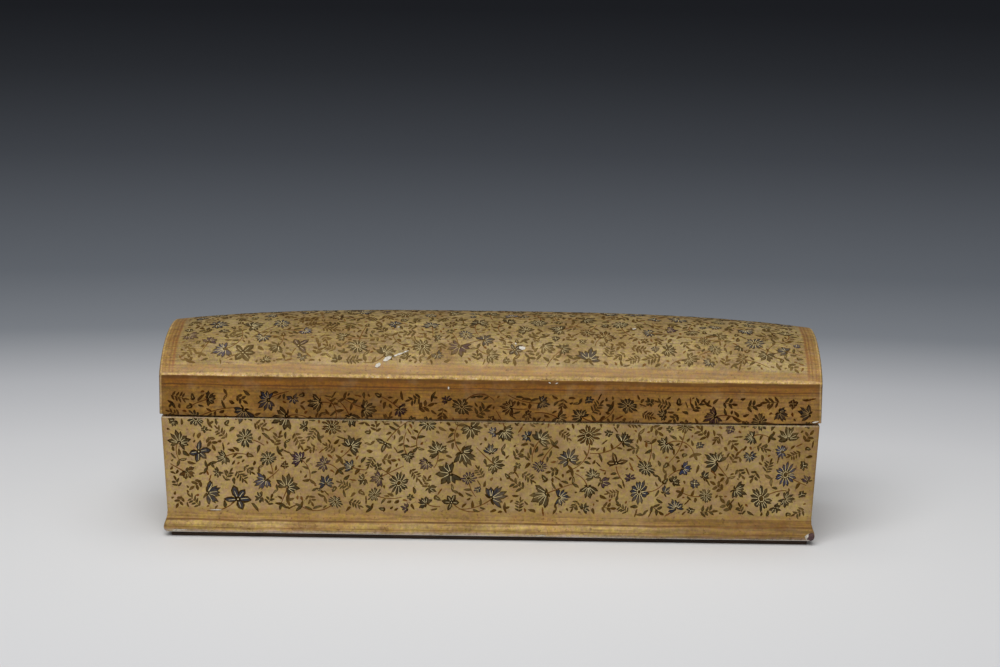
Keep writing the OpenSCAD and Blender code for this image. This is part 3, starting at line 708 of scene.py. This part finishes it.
def spray(rng, pairs, long, wide):
    """A bent stalk of pointed leaflets in pairs."""
    sprig = []
    low = -0.75 * pairs * wide
    dab(sprig, INK, "line", 1.5 * wide * pairs, 0.3, bend=0.5, at=(0, low))
    for i in range(pairs):
        for side in (-1, 1):
            root = (0.5 * (i / pairs) ** 2, low + 0.3 + 1.5 * wide * (i + 0.25 * side * rng.random()))
            angle, far = side * rng.uniform(0.6, 1.05), long * rng.uniform(0.8, 1.15)
            dab(sprig, INK, "leaf", far, wide, 0.2, angle, -side * 0.4, root)
            dab(sprig, PETAL, "fill", far * 0.55, wide * 0.5, 0.2 + far * 0.2, angle, -side * 0.2, root)
    dab(sprig, INK, "leaf", long, wide, 0.0, -0.1, at=(0.5, low + 1.5 * wide * pairs - 0.2))
    return sprig


def bud(rng):
    """A closed flower with a pair of small sepals."""
    sprig = []
    petal(sprig, rng.uniform(2.7, 3.3), 1.9, 0.0, 0.0, at=(0, -1.2))
    for side in (-1, 1):
        dab(sprig, INK, "leaf", 1.6, 0.7, 0.0, side * rng.uniform(0.6, 1.0), at=(0, -1.4))
    dab(sprig, LINE, "line", 1.2, 0.2, 0.5, 0.1, at=(0, -1.0))
    return sprig


def leaves(rng, count, length, width):
    """One leaf, or a few leaves from one root, curled like commas."""
    sprig = []
    for i in range(count):
        alone = count == 1
        angle = (0.0 if alone else math.radians(-45 + 90 * i / (count - 1))) + rng.uniform(-0.15, 0.15)
        long = length * rng.uniform(0.84, 1.16)
        bend = rng.choice((-1, 1)) * rng.uniform(0.2, 0.5) * length if alone else -1.2 * math.sin(angle)
        wide = width * rng.uniform(0.85, 1.15)
        root = (-bend * 0.3 if alone else 0.0, -length * 0.5)
        dab(sprig, INK, "leaf", long, wide, 0.0, angle, bend, root)
        if width > 1.2 and rng.random() < 0.7:
            dab(sprig, PETAL, "fill", long * 0.6, wide * 0.5, long * 0.16, angle, bend * 0.55, root)
            if rng.random() < 0.12:
                dab(sprig, LINE, "line", long * 0.5, 0.18, long * 0.25, angle, bend * 0.55, root)
    return sprig


variety = random.Random(41)


def several(kind, *sizes):
    """Shapes of one kind, drawn one after the other, each with its own sizes."""
    return [kind(variety, *each) for each in sizes]


# Each kind: its shapes, and the room one takes, a radius and half the length of its axis, in mm.
KINDS = {
    "flower": (several(fan, (9, 84, 4.8, 1.5), (10, 92, 4.6, 1.4), (8, 70, 5.2, 1.5), (11, 104, 4.5, 1.35),
                       (9, 76, 5.0, 1.4), (7, 62, 5.2, 1.6), (8, 84, 4.8, 1.6), (9, 96, 4.7, 1.5),
                       (7, 74, 5.0, 1.7))
               + several(daisy, (14, 1.4, 1.2), (13, 1.2, 1.3), (15, 1.5, 1.2), (12, 1.1, 1.4))
               + several(fan, (8, 110, 4.6, 1.6), (10, 124, 4.4, 1.4), (9, 112, 4.6, 1.5))
               + several(lobed, (3, 75), (5, 120)), 4.2, 0.0),
    "posy": (several(posy, (8,), (9,), (7,))
             + several(fan, (6, 66, 3.4, 1.3), (7, 80, 3.3, 1.2), (5, 52, 3.6, 1.4), (6, 90, 3.2, 1.3),
                       (7, 100, 3.1, 1.2), (5, 70, 3.4, 1.3)), 2.6, 0.0),
    "spray": (several(spray, (3, 2.5, 1.15), (2, 3.0, 1.4), (4, 2.3, 0.95), (3, 2.8, 1.05),
                      (4, 2.6, 0.9), (2, 2.7, 1.25)), 2.0, 2.1),
    "small": (several(bud, (), ()) + several(leaves, (2, 3.2, 1.4), (3, 3.0, 1.3), (2, 3.6, 1.5))
              + several(posy, (6,)), 1.5, 0.3),
    "leaf": (several(leaves, (1, 3.5, 1.8), (1, 3.0, 1.6), (1, 3.8, 1.6), (1, 2.8, 1.6), (1, 3.3, 1.9),
                     (1, 3.7, 1.5), (1, 3.1, 1.4)), 0.9, 1.0),
    "touch": (several(leaves, (1, 2.0, 1.0), (1, 1.5, 1.1), (1, 2.2, 1.0), (1, 1.3, 1.0), (2, 1.6, 0.9)),
              0.6, 0.4)}
# The part of the paints' colours that each kind takes its tint from, and the tint of stems.
TINTS = {"flower": (0.0, 0.62), "posy": (0.0, 0.62), "spray": (0.62, 0.9), "small": (0.62, 0.9),
         "leaf": (0.62, 0.9), "touch": (0.72, 1.0)}
STEM_TINT = 0.95
# Half the width of a stem at its flower, and how much of it is lost along the stem.
STEM_HALF = 0.24
STEM_TAPER = 0.1
# Number of the first shape of each kind, and all the shapes in a row.
FIRST = {}
shapes = []
for kind, (group, _, _) in KINDS.items():
    FIRST[kind] = len(shapes)
    shapes += group

brushwork = bpy.data.collections.new("brushwork")
for number, sprig in enumerate(shapes):
    mesh = bpy.data.meshes.new(f"sprig_{number:02d}")
    points, faces, paints = [], [], []
    for paint, outline in sprig:
        faces.append(list(range(len(points), len(points) + len(outline))))
        points += [(x, y, 0.0) for x, y in outline]
        paints.append(paint)
    mesh.from_pydata(points, [], faces)
    mesh.attributes.new("paint", "INT", "FACE").data.foreach_set("value", paints)
    brushwork.objects.link(bpy.data.objects.new(f"sprig_{number:02d}", mesh))

# The tree that sets the shapes: at each point the shape, turn and size that the point carries.
brush_tree = bpy.data.node_groups.new("set_sprigs", "GeometryNodeTree")
for name, kind in (("Geometry", "NodeSocketGeometry"), ("Shapes", "NodeSocketCollection"),
                   ("Paint", "NodeSocketInt"), ("Finish", "NodeSocketMaterial")):
    brush_tree.interface.new_socket(name, in_out="INPUT", socket_type=kind)
brush_tree.interface.new_socket("Geometry", in_out="OUTPUT", socket_type="NodeSocketGeometry")
given = node(brush_tree, "NodeGroupInput").outputs
stock = node(brush_tree, "GeometryNodeCollectionInfo", Collection=given["Shapes"],
             Separate_Children=True, Reset_Children=True).outputs[0]
which = node(brush_tree, "GeometryNodeInputNamedAttribute", {"data_type": "INT"}, Name="shape").outputs[0]
angle = node(brush_tree, "GeometryNodeInputNamedAttribute", {"data_type": "FLOAT"}, Name="turn").outputs[0]
spin = node(brush_tree, "FunctionNodeAxisAngleToRotation", Axis=(0, 0, 1), Angle=angle).outputs[0]
size = node(brush_tree, "GeometryNodeInputNamedAttribute", {"data_type": "FLOAT"}, Name="size").outputs[0]
placed = node(brush_tree, "GeometryNodeInstanceOnPoints", Points=given["Geometry"], Instance=stock,
              Pick_Instance=True, Instance_Index=which, Rotation=spin, Scale=size).outputs[0]
real = node(brush_tree, "GeometryNodeRealizeInstances", Geometry=placed).outputs[0]
paint = node(brush_tree, "GeometryNodeInputNamedAttribute", {"data_type": "INT"}, Name="paint").outputs[0]
other = node(brush_tree, "FunctionNodeCompare", {"data_type": "INT", "operation": "NOT_EQUAL"},
             _2=paint, _3=given["Paint"]).outputs[0]
kept = node(brush_tree, "GeometryNodeDeleteGeometry", {"domain": "FACE"},
            Geometry=real, Selection=other).outputs[0]
dressed = node(brush_tree, "GeometryNodeSetMaterial", Geometry=kept, Material=given["Finish"]).outputs[0]
node(brush_tree, "NodeGroupOutput", Geometry=dressed)
sockets = {item.name: item.identifier for item in brush_tree.interface.items_tree if item.in_out == "INPUT"}


def brushed_paint(name, stops, thin, most, rough):
    """Thin brushed paint; each sprig's own tint picks its pigment. Those on the lid's sides are
    darkened as the gold there is, partly browner varnish and partly painted shade, and rubbed places
    let the gold show through."""
    material, tree, mm = new_finish(name)
    tint = node(tree, "ShaderNodeAttribute", {"attribute_name": "tint"}).outputs["Fac"]
    tone = node(tree, "ShaderNodeValToRGB", {"stops": stops}, Fac=tint)
    tone.color_ramp.interpolation = "CONSTANT"
    stroke = node(tree, "ShaderNodeTexNoise", _0=mm, Scale=1 / 0.8, Detail=2.0).outputs[0]
    share = node(tree, "ShaderNodeMapRange", Value=stroke, From_Min=0.42, From_Max=0.72,
                 To_Min=0.0, To_Max=most).outputs[0]
    tone = node(tree, "ShaderNodeMix", OVER, _0=share, _6=tone.outputs[0], _7=linear(thin)).outputs[2]
    worn = node(tree, "ShaderNodeAttribute", {"attribute_name": "worn"}).outputs["Fac"]
    patches = node(tree, "ShaderNodeTexNoise", _0=mm, Scale=1 / 6, Detail=4.0, Roughness=0.7).outputs[0]
    patches = node(tree, "ShaderNodeMapRange", Value=patches, From_Min=0.45, From_Max=0.7,
                   To_Min=0.0, To_Max=0.34).outputs[0]
    worn = node(tree, "ShaderNodeMath", {"operation": "ADD", "use_clamp": True},
                _0=worn, _1=patches).outputs[0]
    tone = node(tree, "ShaderNodeMix", OVER, _0=worn, _6=tone, _7=linear("#A1844E")).outputs[2]
    # Sprigs on the lid's sides are darkened: partly browner varnish, partly painted shade.
    varnish = node(tree, "ShaderNodeAttribute", {"attribute_name": "varnish"}).outputs["Fac"]
    tone = node(tree, "ShaderNodeMix", TINT, _0=varnish, _6=tone, _7=linear("#B08A50")).outputs[2]
    lift = node(tree, "ShaderNodeBump", Strength=0.25, Distance=0.0001, Height=stroke).outputs[0]
    skin = node(tree, "ShaderNodeBsdfPrincipled", Base_Color=tone, Roughness=rough, Specular_IOR_Level=0.05,
                Normal=lift)
    node(tree, "ShaderNodeOutputMaterial", Surface=skin.outputs[0])
    return material


# Outline and leaf paint: brown-black, thinner where the brush ran dry.
ink_paint = brushed_paint("brown_black_paint", [(0.0, "#302006"), (0.3, "#2C1E0C"), (0.62, "#452D08"),
                                                (0.8, "#553810"), (0.91, "#6C4016")], "#5E3F0C", 0.45, 0.6)
# Petal paint: slate for most flowers, a few indigo and plum, grey-green and brown for the leaves.
petal_paint = brushed_paint("slate_and_indigo_paint", [
    (0.0, "#433A28"), (0.16, "#383A42"), (0.32, "#4C3E24"), (0.45, "#343C58"), (0.49, "#493640"),
    (0.56, "#583A18"), (0.62, "#4B4429"), (0.8, "#564222")], "#34240E", 0.4, 0.55)
# Shell-gold lines: pale gold over the dark petals.
line_paint = brushed_paint("pale_gold_lines", [(0.0, "#E0CC98"), (0.5, "#CDB47C")], "#A08858", 0.4, 0.45)


def lay_out(seed, low, high, inside, per_flower=185.0):
    """Scatters sprigs over a flat panel: flowers clear of one another, a curved stem with leaves to
    some, and smaller shapes in the room left. Returns the points and the stems."""
    rng = random.Random(seed)
    cell = 0.35
    wide, tall = int((high[0] - low[0]) / cell) + 1, int((high[1] - low[1]) / cell) + 1
    grid_u = low[0] + cell * (np.arange(wide) + 0.5)
    grid_v = low[1] + cell * (np.arange(tall) + 0.5)
    taken = np.array([[not inside(u, v) for v in grid_v] for u in grid_u])
    area = float((~taken).sum()) * cell * cell
    points, stems = [], []

    def discs(u, v, radius, half, turn):
        """The one or three discs that stand for the room a shape takes."""
        for k in (-1, 0, 1) if half else (0,):
            yield u - k * half * math.sin(turn), v + k * half * math.cos(turn), radius

    def cells(u, v, r):
        """The cells round a disc, and which of them lie in it."""
        a, b = max(int((u - r - low[0]) / cell), 0), int((u + r - low[0]) / cell) + 2
        c, d = max(int((v - r - low[1]) / cell), 0), int((v + r - low[1]) / cell) + 2
        return (slice(a, b), slice(c, d)), (grid_u[a:b, None] - u) ** 2 + (grid_v[None, c:d] - v) ** 2 < r * r

    def crowded(u, v, r):
        """Share of a disc that is outside the panel or painted already."""
        i, j = int((u - low[0]) / cell), int((v - low[1]) / cell)
        if not (0 <= i < wide and 0 <= j < tall):
            return 1.0
        part, near = cells(u, v, r)
        return float((taken[part] & near).sum()) / max(1, int(near.sum()))

    def fits(kind, u, v, turn, size, gap):
        """Whether a shape and a gap round it have free room."""
        i, j = int((u - low[0]) / cell), int((v - low[1]) / cell)
        if taken[min(i, wide - 1), min(j, tall - 1)]:
            return False
        _, radius, half = KINDS[kind]
        return all(crowded(a, b, r + gap) == 0 for a, b, r in discs(u, v, radius * size, half * size, turn))

    def put(kind, u, v, turn, size):
        """Sets a shape of a kind and takes up its room."""
        group, radius, half = KINDS[kind]
        tint = rng.uniform(*TINTS[kind])
        points.append((u, v, turn, size, FIRST[kind] + rng.randrange(len(group)), tint))
        for a, b, r in discs(u, v, radius * size, half * size, turn):
            part, near = cells(a, b, r)
            taken[part] |= near

    # Flowers first, one for so many square mm.
    heads = []
    for _ in range(int(area * 2)):
        u, v = rng.uniform(low[0], high[0]), rng.uniform(low[1], high[1])
        turn, size = rng.uniform(-math.pi, math.pi), rng.uniform(0.76, 1.36)
        if len(heads) < area / per_flower and fits("flower", u, v, turn, size, 0.2):
            put("flower", u, v, turn, size)
            heads.append((u, v, turn, size))
    # Stems to some of them: the least crowded of ten tries, if free enough, with leaves on both sides.
    for u, v, turn, size in heads:
        if rng.random() < 0.2:
            continue
        best = None
        for _ in range(10):
            heading = turn - math.pi / 2 + rng.uniform(-0.35, 0.35)
            curl, length = rng.uniform(-0.14, 0.14), rng.uniform(6.0, 17.0)
            path = [(u + 2.4 * size * math.cos(heading), v + 2.4 * size * math.sin(heading))]
            hit = 0.0
            for k in range(int(length)):
                heading += curl
                path.append((path[-1][0] + math.cos(heading), path[-1][1] + math.sin(heading)))
                if k > 1:
                    hit += crowded(*path[-1], 0.6)
            if best is None or hit / length < best[0]:
                best = (hit / length, path)
        if best[0] > 0.3:
            continue
        path = best[1]
        stems.append(path)
        for k in range(2, 2 * len(path) - 3):
            a, b = path[k // 2]
            heading = math.atan2(path[k // 2 + 1][1] - b, path[k // 2 + 1][0] - a)
            lean = heading + math.pi - (1 if k % 2 else -1) * rng.uniform(0.55, 0.95)
            far, size = rng.uniform(1.9, 2.4), rng.uniform(0.7, 1.0)
            a, b = a + far * math.cos(lean), b + far * math.sin(lean)
            if fits("leaf", a, b, lean - math.pi / 2, size, 0.2):
                put("leaf", a, b, lean - math.pi / 2, size)
        a, b = path[-1]
        heading = math.atan2(b - path[-2][1], a - path[-2][0])
        a, b = a + 1.4 * math.cos(heading), b + 1.4 * math.sin(heading)
        if fits("small", a, b, heading - math.pi / 2, 1.0, 0.0):
            put("small", a, b, heading - math.pi / 2, 1.0)
        for a, b in path:
            part, near = cells(a, b, 0.35)
            taken[part] |= near
    # The rest, each kind with the area in square mm that there is for one, and the gap round it.
    for kind, each, gap in (("spray", 180, 0.15), ("posy", 130, 0.15), ("small", 150, 0.3),
                            ("leaf", 34, 0.5), ("touch", 17, 0.55)):
        wanted = int(area / each)
        for _ in range(60 * wanted):
            u, v = rng.uniform(low[0], high[0]), rng.uniform(low[1], high[1])
            turn, size = rng.uniform(-math.pi, math.pi), rng.uniform(0.8, 1.12)
            if kind in ("leaf", "touch"):
                turn = 0.25 * turn + 2.4 * math.sin(u / 10 + math.sin(v / 7)) + 0.8 * math.cos(v / 5)
            if wanted and fits(kind, u, v, turn, size, gap):
                put(kind, u, v, turn, size)
                wanted -= 1
    return points, stems


def brush_flat(points, stems):
    """The whole panel as three flat meshes in mm, one for each paint."""
    seeds = bpy.data.meshes.new("sprig_points")
    # Small differences in height keep shapes that overlap apart.
    seeds.from_pydata([(u, v, 0.0004 * (i % 23)) for i, (u, v, *_) in enumerate(points)], [], [])
    for name, kind, column in (("turn", "FLOAT", 2), ("size", "FLOAT", 3), ("shape", "INT", 4),
                               ("tint", "FLOAT", 5)):
        seeds.attributes.new(name, kind, "POINT").data.foreach_set("value", [p[column] for p in points])
    holder = bpy.data.objects.new("sprig_points", seeds)
    bpy.context.scene.collection.objects.link(holder)
    flats = []
    for paint, finish in ((INK, ink_paint), (PETAL, petal_paint), (LINE, line_paint)):
        modifier = holder.modifiers.new("set_sprigs", "NODES")
        modifier.node_group = brush_tree
        modifier[sockets["Shapes"]] = brushwork
        modifier[sockets["Paint"]] = paint
        modifier[sockets["Finish"]] = finish
        shown = bpy.context.evaluated_depsgraph_get()
        flat = bpy.data.meshes.new_from_object(holder.evaluated_get(shown), depsgraph=shown)
        holder.modifiers.remove(modifier)
        if paint == INK:
            bm = bmesh.new()
            bm.from_mesh(flat)
            tint = bm.verts.layers.float["tint"]
            for path in stems:
                sides = []
                for k, (a, b) in enumerate(path):
                    ahead, back = path[min(k + 1, len(path) - 1)], path[max(k - 1, 0)]
                    long = math.hypot(ahead[0] - back[0], ahead[1] - back[1])
                    half = STEM_HALF - STEM_TAPER * k / len(path)
                    out = ((ahead[1] - back[1]) / long * half, -(ahead[0] - back[0]) / long * half)
                    pair = [bm.verts.new((a + s * out[0], b + s * out[1], 0.0)) for s in (1, -1)]
                    for vert in pair:
                        vert[tint] = STEM_TINT
                    sides.append(pair)
                for (r0, l0), (r1, l1) in zip(sides, sides[1:]):
                    bm.faces.new([l0, r0, r1, l1])
            bm.to_mesh(flat)
            bm.free()
        flats.append(flat)
    bpy.data.objects.remove(holder)
    return flats


# How far each paint lies over the surface, and the side of a body's square sheet of maps, in mm.
LIFTS = (0.05, 0.08, 0.105)
SHEET = 290
painted = {(body, paint): bmesh.new() for body in ("box", "lid") for paint in (INK, PETAL, LINE)}
for bm in painted.values():
    for name in ("tint", "varnish", "worn"):
        bm.verts.layers.float.new(name)
    bm.loops.layers.uv.new("OFBake")


def lay_on(body, flats, place, corner, low=None, high=None, varnish=0.0, worn=((0.0, 0.0),)):
    """Sets a panel's flat paint on a surface, cut at the heights low and high. corner is where the
    panel's own map starts on the body's sheet; worn is the wear by height."""
    for paint, flat in enumerate(flats):
        cut = bmesh.new()
        cut.from_mesh(flat)
        for height, way in ((low, -1), (high, 1)):
            if height is not None:
                bmesh.ops.bisect_plane(cut, geom=cut.verts[:] + cut.edges[:] + cut.faces[:],
                                       plane_co=(0, height, 0), plane_no=(0, way, 0), clear_outer=True)
        where = np.array([vert.co for vert in cut.verts])
        at = place(where[:, 0], where[:, 1], LIFTS[paint] + where[:, 2]) / 1000
        start = where.min(axis=0)
        wear = np.interp(where[:, 1], [v for v, _ in worn], [share for _, share in worn])
        old_tint = cut.verts.layers.float["tint"]
        whole = painted[body, paint]
        layers = [whole.verts.layers.float[name] for name in ("tint", "varnish", "worn")]
        chart = whole.loops.layers.uv["OFBake"]
        cut.verts.index_update()
        made = []
        for old, co, rubbed in zip(cut.verts, at, wear):
            vert = whole.verts.new(co)
            for layer, value in zip(layers, (old[old_tint], varnish, rubbed)):
                vert[layer] = value
            made.append(vert)
        for face in cut.faces:
            new = whole.faces.new([made[v.index] for v in face.verts])
            for loop, vert in zip(new.loops, face.verts):
                u, v, _ = where[vert.index] - start
                loop[chart].uv = ((corner[0] + u) / SHEET, (corner[1] + v) / SHEET)
        cut.free()


# Paint over this height is on the lid. The fields keep clear of the foot, the upright corners, the
# arris, the arched edge of the ends and the borders of the vault.
PARTING = RIM_Z + 0.15
FIELD_LOW = 11.9
CORNER_BAND = 1.5
ARRIS_BAND = 5.9
END_BAND = 6.0
VAULT_BAND = 5.8
VAULT_FIELD = 132.9


def on_front(u, v, lift):
    """Front wall below the rim, lid rail above it, down to its bowed edge."""
    z = np.where(v < PARTING, v, np.maximum(v, lid_edge(u) + 0.05))
    return np.stack([u, np.where(v < PARTING, -wall_y(v), -LID_Y) - lift, z], axis=-1)


def on_back(u, v, lift):
    """The back in the same way, read from behind."""
    return np.stack([-u, np.where(v < PARTING, wall_y(v), LID_Y) + lift, v], axis=-1)


def on_left(u, v, lift):
    """Left end, read from the left."""
    return np.stack([np.where(v < PARTING, -wall_x(v), -LID_X) - lift, -u, v], axis=-1)


def on_right(u, v, lift):
    """Right end, read from the right."""
    return np.stack([np.where(v < PARTING, wall_x(v), LID_X) + lift, u, v], axis=-1)


def in_side(u, v):
    """The painted field of the front or back, between the foot band and the band under the arris."""
    return FIELD_LOW < v < ARRIS_Z - ARRIS_BAND and abs(u) < wall_x(min(v, RIM_Z)) - CORNER_BAND


def in_end(u, v):
    """The painted field of an end, under a plain band along the vault."""
    top = ARRIS_Z + END_RISE * float(arch(u / LID_Y)) - END_BAND
    return FIELD_LOW < v < top and abs(u) < wall_y(min(v, RIM_Z)) - CORNER_BAND


def in_vault(u, v):
    """The painted field of the vault, inside its borders."""
    return VAULT_BAND < v < VAULT_WIDTH - VAULT_BAND and abs(u) < VAULT_FIELD


# Paint on the lid's sides is darkened, partly for browner varnish and partly as painted shade.
for side, place, seed, row in (("front", on_front, 7, 0), ("back", on_back, 19, 1)):
    flats = brush_flat(*lay_out(seed, (-139, 11.5), (139, ARRIS_Z - 5), in_side))
    low, high = (RIM_Z + 0.35, RIM_Z - 0.6) if side == "front" else (RIM_Z + 2.6, RIM_Z - 2.0)
    lay_on("box", flats, place, (2, 2 + 45 * row), high=high)
    lay_on("lid", flats, place, (2, 110 + 20 * row), low=low, varnish=0.75)
for side, place, seed, row in (("left", on_left, 23, 0), ("right", on_right, 31, 1)):
    flats = brush_flat(*lay_out(seed, (-41.5, 11.5), (41.5, ARRIS_Z + 13.7), in_end))
    lay_on("box", flats, place, (2 + 100 * row, 100), high=RIM_Z - 0.6)
    lay_on("lid", flats, place, (2 + 100 * row, 155), low=RIM_Z + 1.6, varnish=0.6)
flats = brush_flat(*lay_out(53, (-134, 5.5), (134, VAULT_WIDTH - 5.5), in_vault))
lay_on("lid", flats, vault_point, (2, 2), worn=((6.0, 0.24), (20.0, 0.13), (34.0, 0.0)))
for shape in list(brushwork.objects):
    bpy.data.objects.remove(shape)
bpy.data.collections.remove(brushwork)
for (body, paint), bm in painted.items():
    name = body + ("_outlines", "_petals", "_lines")[paint]
    mesh = bpy.data.meshes.new(name)
    bm.to_mesh(mesh)
    bm.free()
    mesh.materials.append((ink_paint, petal_paint, line_paint)[paint])
    add_piece(mesh, body)

# Losses
# Places where the paint has flaked off: white gesso over the bare ground, and at the right foot
# corner the brown core as well. Thin patches, one for each loss, laid on the painted surface.

# Bare gesso: a chalky, dull white, dirty in spots.
bare_gesso, tree, mm = new_finish("bare_gesso")
dirt = node(tree, "ShaderNodeTexNoise", _0=mm, Scale=1 / 0.9, Detail=3.0, Roughness=0.65).outputs[0]
tone = node(tree, "ShaderNodeValToRGB",
            {"stops": [(0.3, "#98907F"), (0.48, "#CFC7B8"), (0.7, "#E2DBCC")]}, Fac=dirt).outputs[0]
lift = node(tree, "ShaderNodeBump", Strength=0.6, Distance=0.0002, Height=dirt).outputs[0]
skin = node(tree, "ShaderNodeBsdfPrincipled", Base_Color=tone, Roughness=0.8, Normal=lift)
node(tree, "ShaderNodeOutputMaterial", Surface=skin.outputs[0])
# Bare core: the broken edge of the moulding, a dark purple-brown, dull and crumbly.
bare_core, tree, mm = new_finish("bare_core")
crumb = node(tree, "ShaderNodeTexNoise", _0=mm, Scale=1 / 1.2, Detail=4.0, Roughness=0.7).outputs[0]
tone = node(tree, "ShaderNodeValToRGB",
            {"stops": [(0.32, "#33211F"), (0.55, "#553C3C"), (0.75, "#735656")]}, Fac=crumb).outputs[0]
lift = node(tree, "ShaderNodeBump", Strength=0.8, Distance=0.0003, Height=crumb).outputs[0]
skin = node(tree, "ShaderNodeBsdfPrincipled", Base_Color=tone, Roughness=0.85, Normal=lift)
node(tree, "ShaderNodeOutputMaterial", Surface=skin.outputs[0])


def on_foot(u, v, lift):
    """Face of the front foot moulding, up to its rubbed corner."""
    out = np.interp(v, [z for z, _ in FOOT], [o for _, o in FOOT])
    limit = wall_x(v) + out - 0.3
    return np.stack([np.clip(u, -limit, limit), -wall_y(v) - out - lift, v], axis=-1)


# A loss is drawn as rings of so many points, each a share of its outline, and its middle. Core lies a
# little over gesso.
RING_POINTS = 14
RINGS = (1.0, 0.7, 0.4)
GESSO_LIFT = 0.13
CORE_LIFT = 0.2
chance = random.Random(17)
# Each loss: its surface, where its middle is, its length, width and turn, and 1 where the core shows.
for body, losses in (
        ("lid", [(vault_point, -47.6, 5.2, 2.6, 1.9, 0.6, 0), (vault_point, -43.8, 8.2, 4.4, 1.7, 0.5, 0),
                 (vault_point, -39.2, 10.4, 4.6, 0.9, 0.45, 0), (vault_point, -36.0, 12.0, 2.6, 0.7, 0.5, 0),
                 (vault_point, 13.2, 14.9, 3.0, 2.2, -0.4, 0), (vault_point, 10.4, 17.4, 0.7, 1.3, 0.2, 0),
                 (vault_point, -39.9, 28.9, 1.3, 0.6, 0.1, 0), (vault_point, 61.0, 31.0, 1.8, 1.1, 0.6, 0),
                 (on_front, 25.0, ARRIS_Z - 1.2, 1.1, 0.5, -0.5, 0),
                 (on_front, 28.0, ARRIS_Z - 1.4, 1.3, 0.45, 0.4, 0),
                 (on_front, -17.6, 67.2, 0.7, 1.3, 0.1, 0), (on_front, 137.2, 54.7, 3.0, 0.7, 0.2, 0)]),
        ("box", [(on_front, -116.4, 12.0, 5.4, 0.5, 0.02, 0),
                 (on_foot, 22.0, 3.0, 5.0, 0.8, 0.0, 0), (on_foot, -132.5, 3.2, 7.0, 0.9, 0.05, 0),
                 (on_foot, 136.5, 4.3, 4.6, 3.0, 0.5, 0), (on_foot, 137.6, 4.1, 4.6, 3.4, 0.5, 1)])):
    mesh = bpy.data.meshes.new(body + "_losses")
    points, faces, bare = [], [], []
    for place, u, v, length, width, turn, core in losses:
        rim = []
        for k in range(RING_POINTS):
            angle = 2 * math.pi * k / RING_POINTS
            a = 0.5 * length * math.cos(angle) * chance.uniform(0.75, 1.15)
            b = 0.5 * width * math.sin(angle) * chance.uniform(0.65, 1.2)
            rim.append((a * math.cos(turn) - b * math.sin(turn), a * math.sin(turn) + b * math.cos(turn)))
        flat = np.array([(u + share * a, v + share * b) for share in RINGS for a, b in rim] + [(u, v)])
        if place is on_foot:
            flat[:, 1] = np.maximum(flat[:, 1], FOOT_LOW + 0.05)
        lift = np.full(len(flat), CORE_LIFT if core else GESSO_LIFT)
        rings = [len(points) + RING_POINTS * i for i in range(len(RINGS))]
        middle = len(points) + len(flat) - 1
        points += [tuple(at) for at in place(flat[:, 0], flat[:, 1], lift) / 1000]
        for k in range(RING_POINTS):
            after = (k + 1) % RING_POINTS
            for outer, inner in zip(rings, rings[1:]):
                faces.append([outer + k, outer + after, inner + after, inner + k])
            faces.append([rings[-1] + k, rings[-1] + after, middle])
            bare += [core] * len(RINGS)
    mesh.from_pydata(points, [], faces)
    mesh.materials.append(bare_gesso)
    mesh.materials.append(bare_core)
    mesh.polygons.foreach_set("material_index", bare)
    add_piece(mesh, body)

# Floor, light and camera
# A plain floor coloured with a painted pool of light, pale round the box and darker far off, large soft
# lights from the front and from above, and the camera where the photograph was taken from.

# The floor's colour is a painted pool of light: pale round the box and darker far off.
light_pool_floor, tree, mm = new_finish("graduated_paper")
squeezed = node(tree, "ShaderNodeMapping", _0=mm, Location=(0, 40, 0), Scale=(0.55, 1, 1)).outputs[0]
far = node(tree, "ShaderNodeVectorMath", {"operation": "LENGTH"}, _0=squeezed).outputs["Value"]
far = node(tree, "ShaderNodeMapRange", Value=far, From_Min=0.0, From_Max=2800.0).outputs[0]
shade = node(tree, "ShaderNodeValToRGB",
             {"stops": [(0.0, "#EAEAEA"), (0.045, "#E0E0E0"), (0.075, "#DADADB"), (0.12, "#C4C5C8"),
                        (0.17, "#8F9399"), (0.24, "#787D84"), (0.45, "#62666D"), (0.7, "#53565C"),
                        (1.0, "#484A50")]},
             Fac=far).outputs[0]
skin = node(tree, "ShaderNodeBsdfDiffuse", Color=shade)
node(tree, "ShaderNodeOutputMaterial", Surface=skin.outputs[0])
mesh = bpy.data.meshes.new("floor")
mesh.from_pydata([(-8, -8, 0), (8, -8, 0), (8, 8, 0), (-8, 8, 0)], [], [(0, 1, 2, 3)])
mesh.materials.append(light_pool_floor)
floor = bpy.data.objects.new("floor", mesh)
bpy.context.scene.collection.objects.link(floor)

for name, place, aim, wide, tall, power in (
        ("key", (-0.25, -1.05, 1.35), (0, 0, 0.05), 1.4, 1.0, 20.0),
        ("overhead", (0.1, 0.05, 1.5), (0, 0, 0), 1.6, 1.2, 8.0)):
    data = bpy.data.lights.new(name, "AREA")
    data.shape, data.size, data.size_y, data.energy = "RECTANGLE", wide, tall, power
    lamp = bpy.data.objects.new(name, data)
    lamp.location = place
    way = np.array(aim) - np.array(place)
    lamp.rotation_euler = (math.acos(-way[2] / np.linalg.norm(way)), 0, math.atan2(way[0], -way[1]) + math.pi)
    bpy.context.scene.collection.objects.link(lamp)

world = bpy.data.worlds.new("studio")
world.use_nodes = True
world.node_tree.nodes["Background"].inputs["Color"].default_value = linear("#9A9CA0")
world.node_tree.nodes["Background"].inputs["Strength"].default_value = 0.4
bpy.context.scene.world = world

view = bpy.data.cameras.new("camera")
view.lens, view.sensor_width, view.clip_end = 100.8, 36.0, 50.0
camera = bpy.data.objects.new("camera", view)
camera.location = (0.0173, -1.1956, 0.3198)
camera.rotation_euler = [math.radians(a) for a in (78.779, -0.664, 0.801)]
bpy.context.scene.collection.objects.link(camera)
bpy.context.scene.camera = camera
bpy.context.scene.view_settings.view_transform = "Standard"
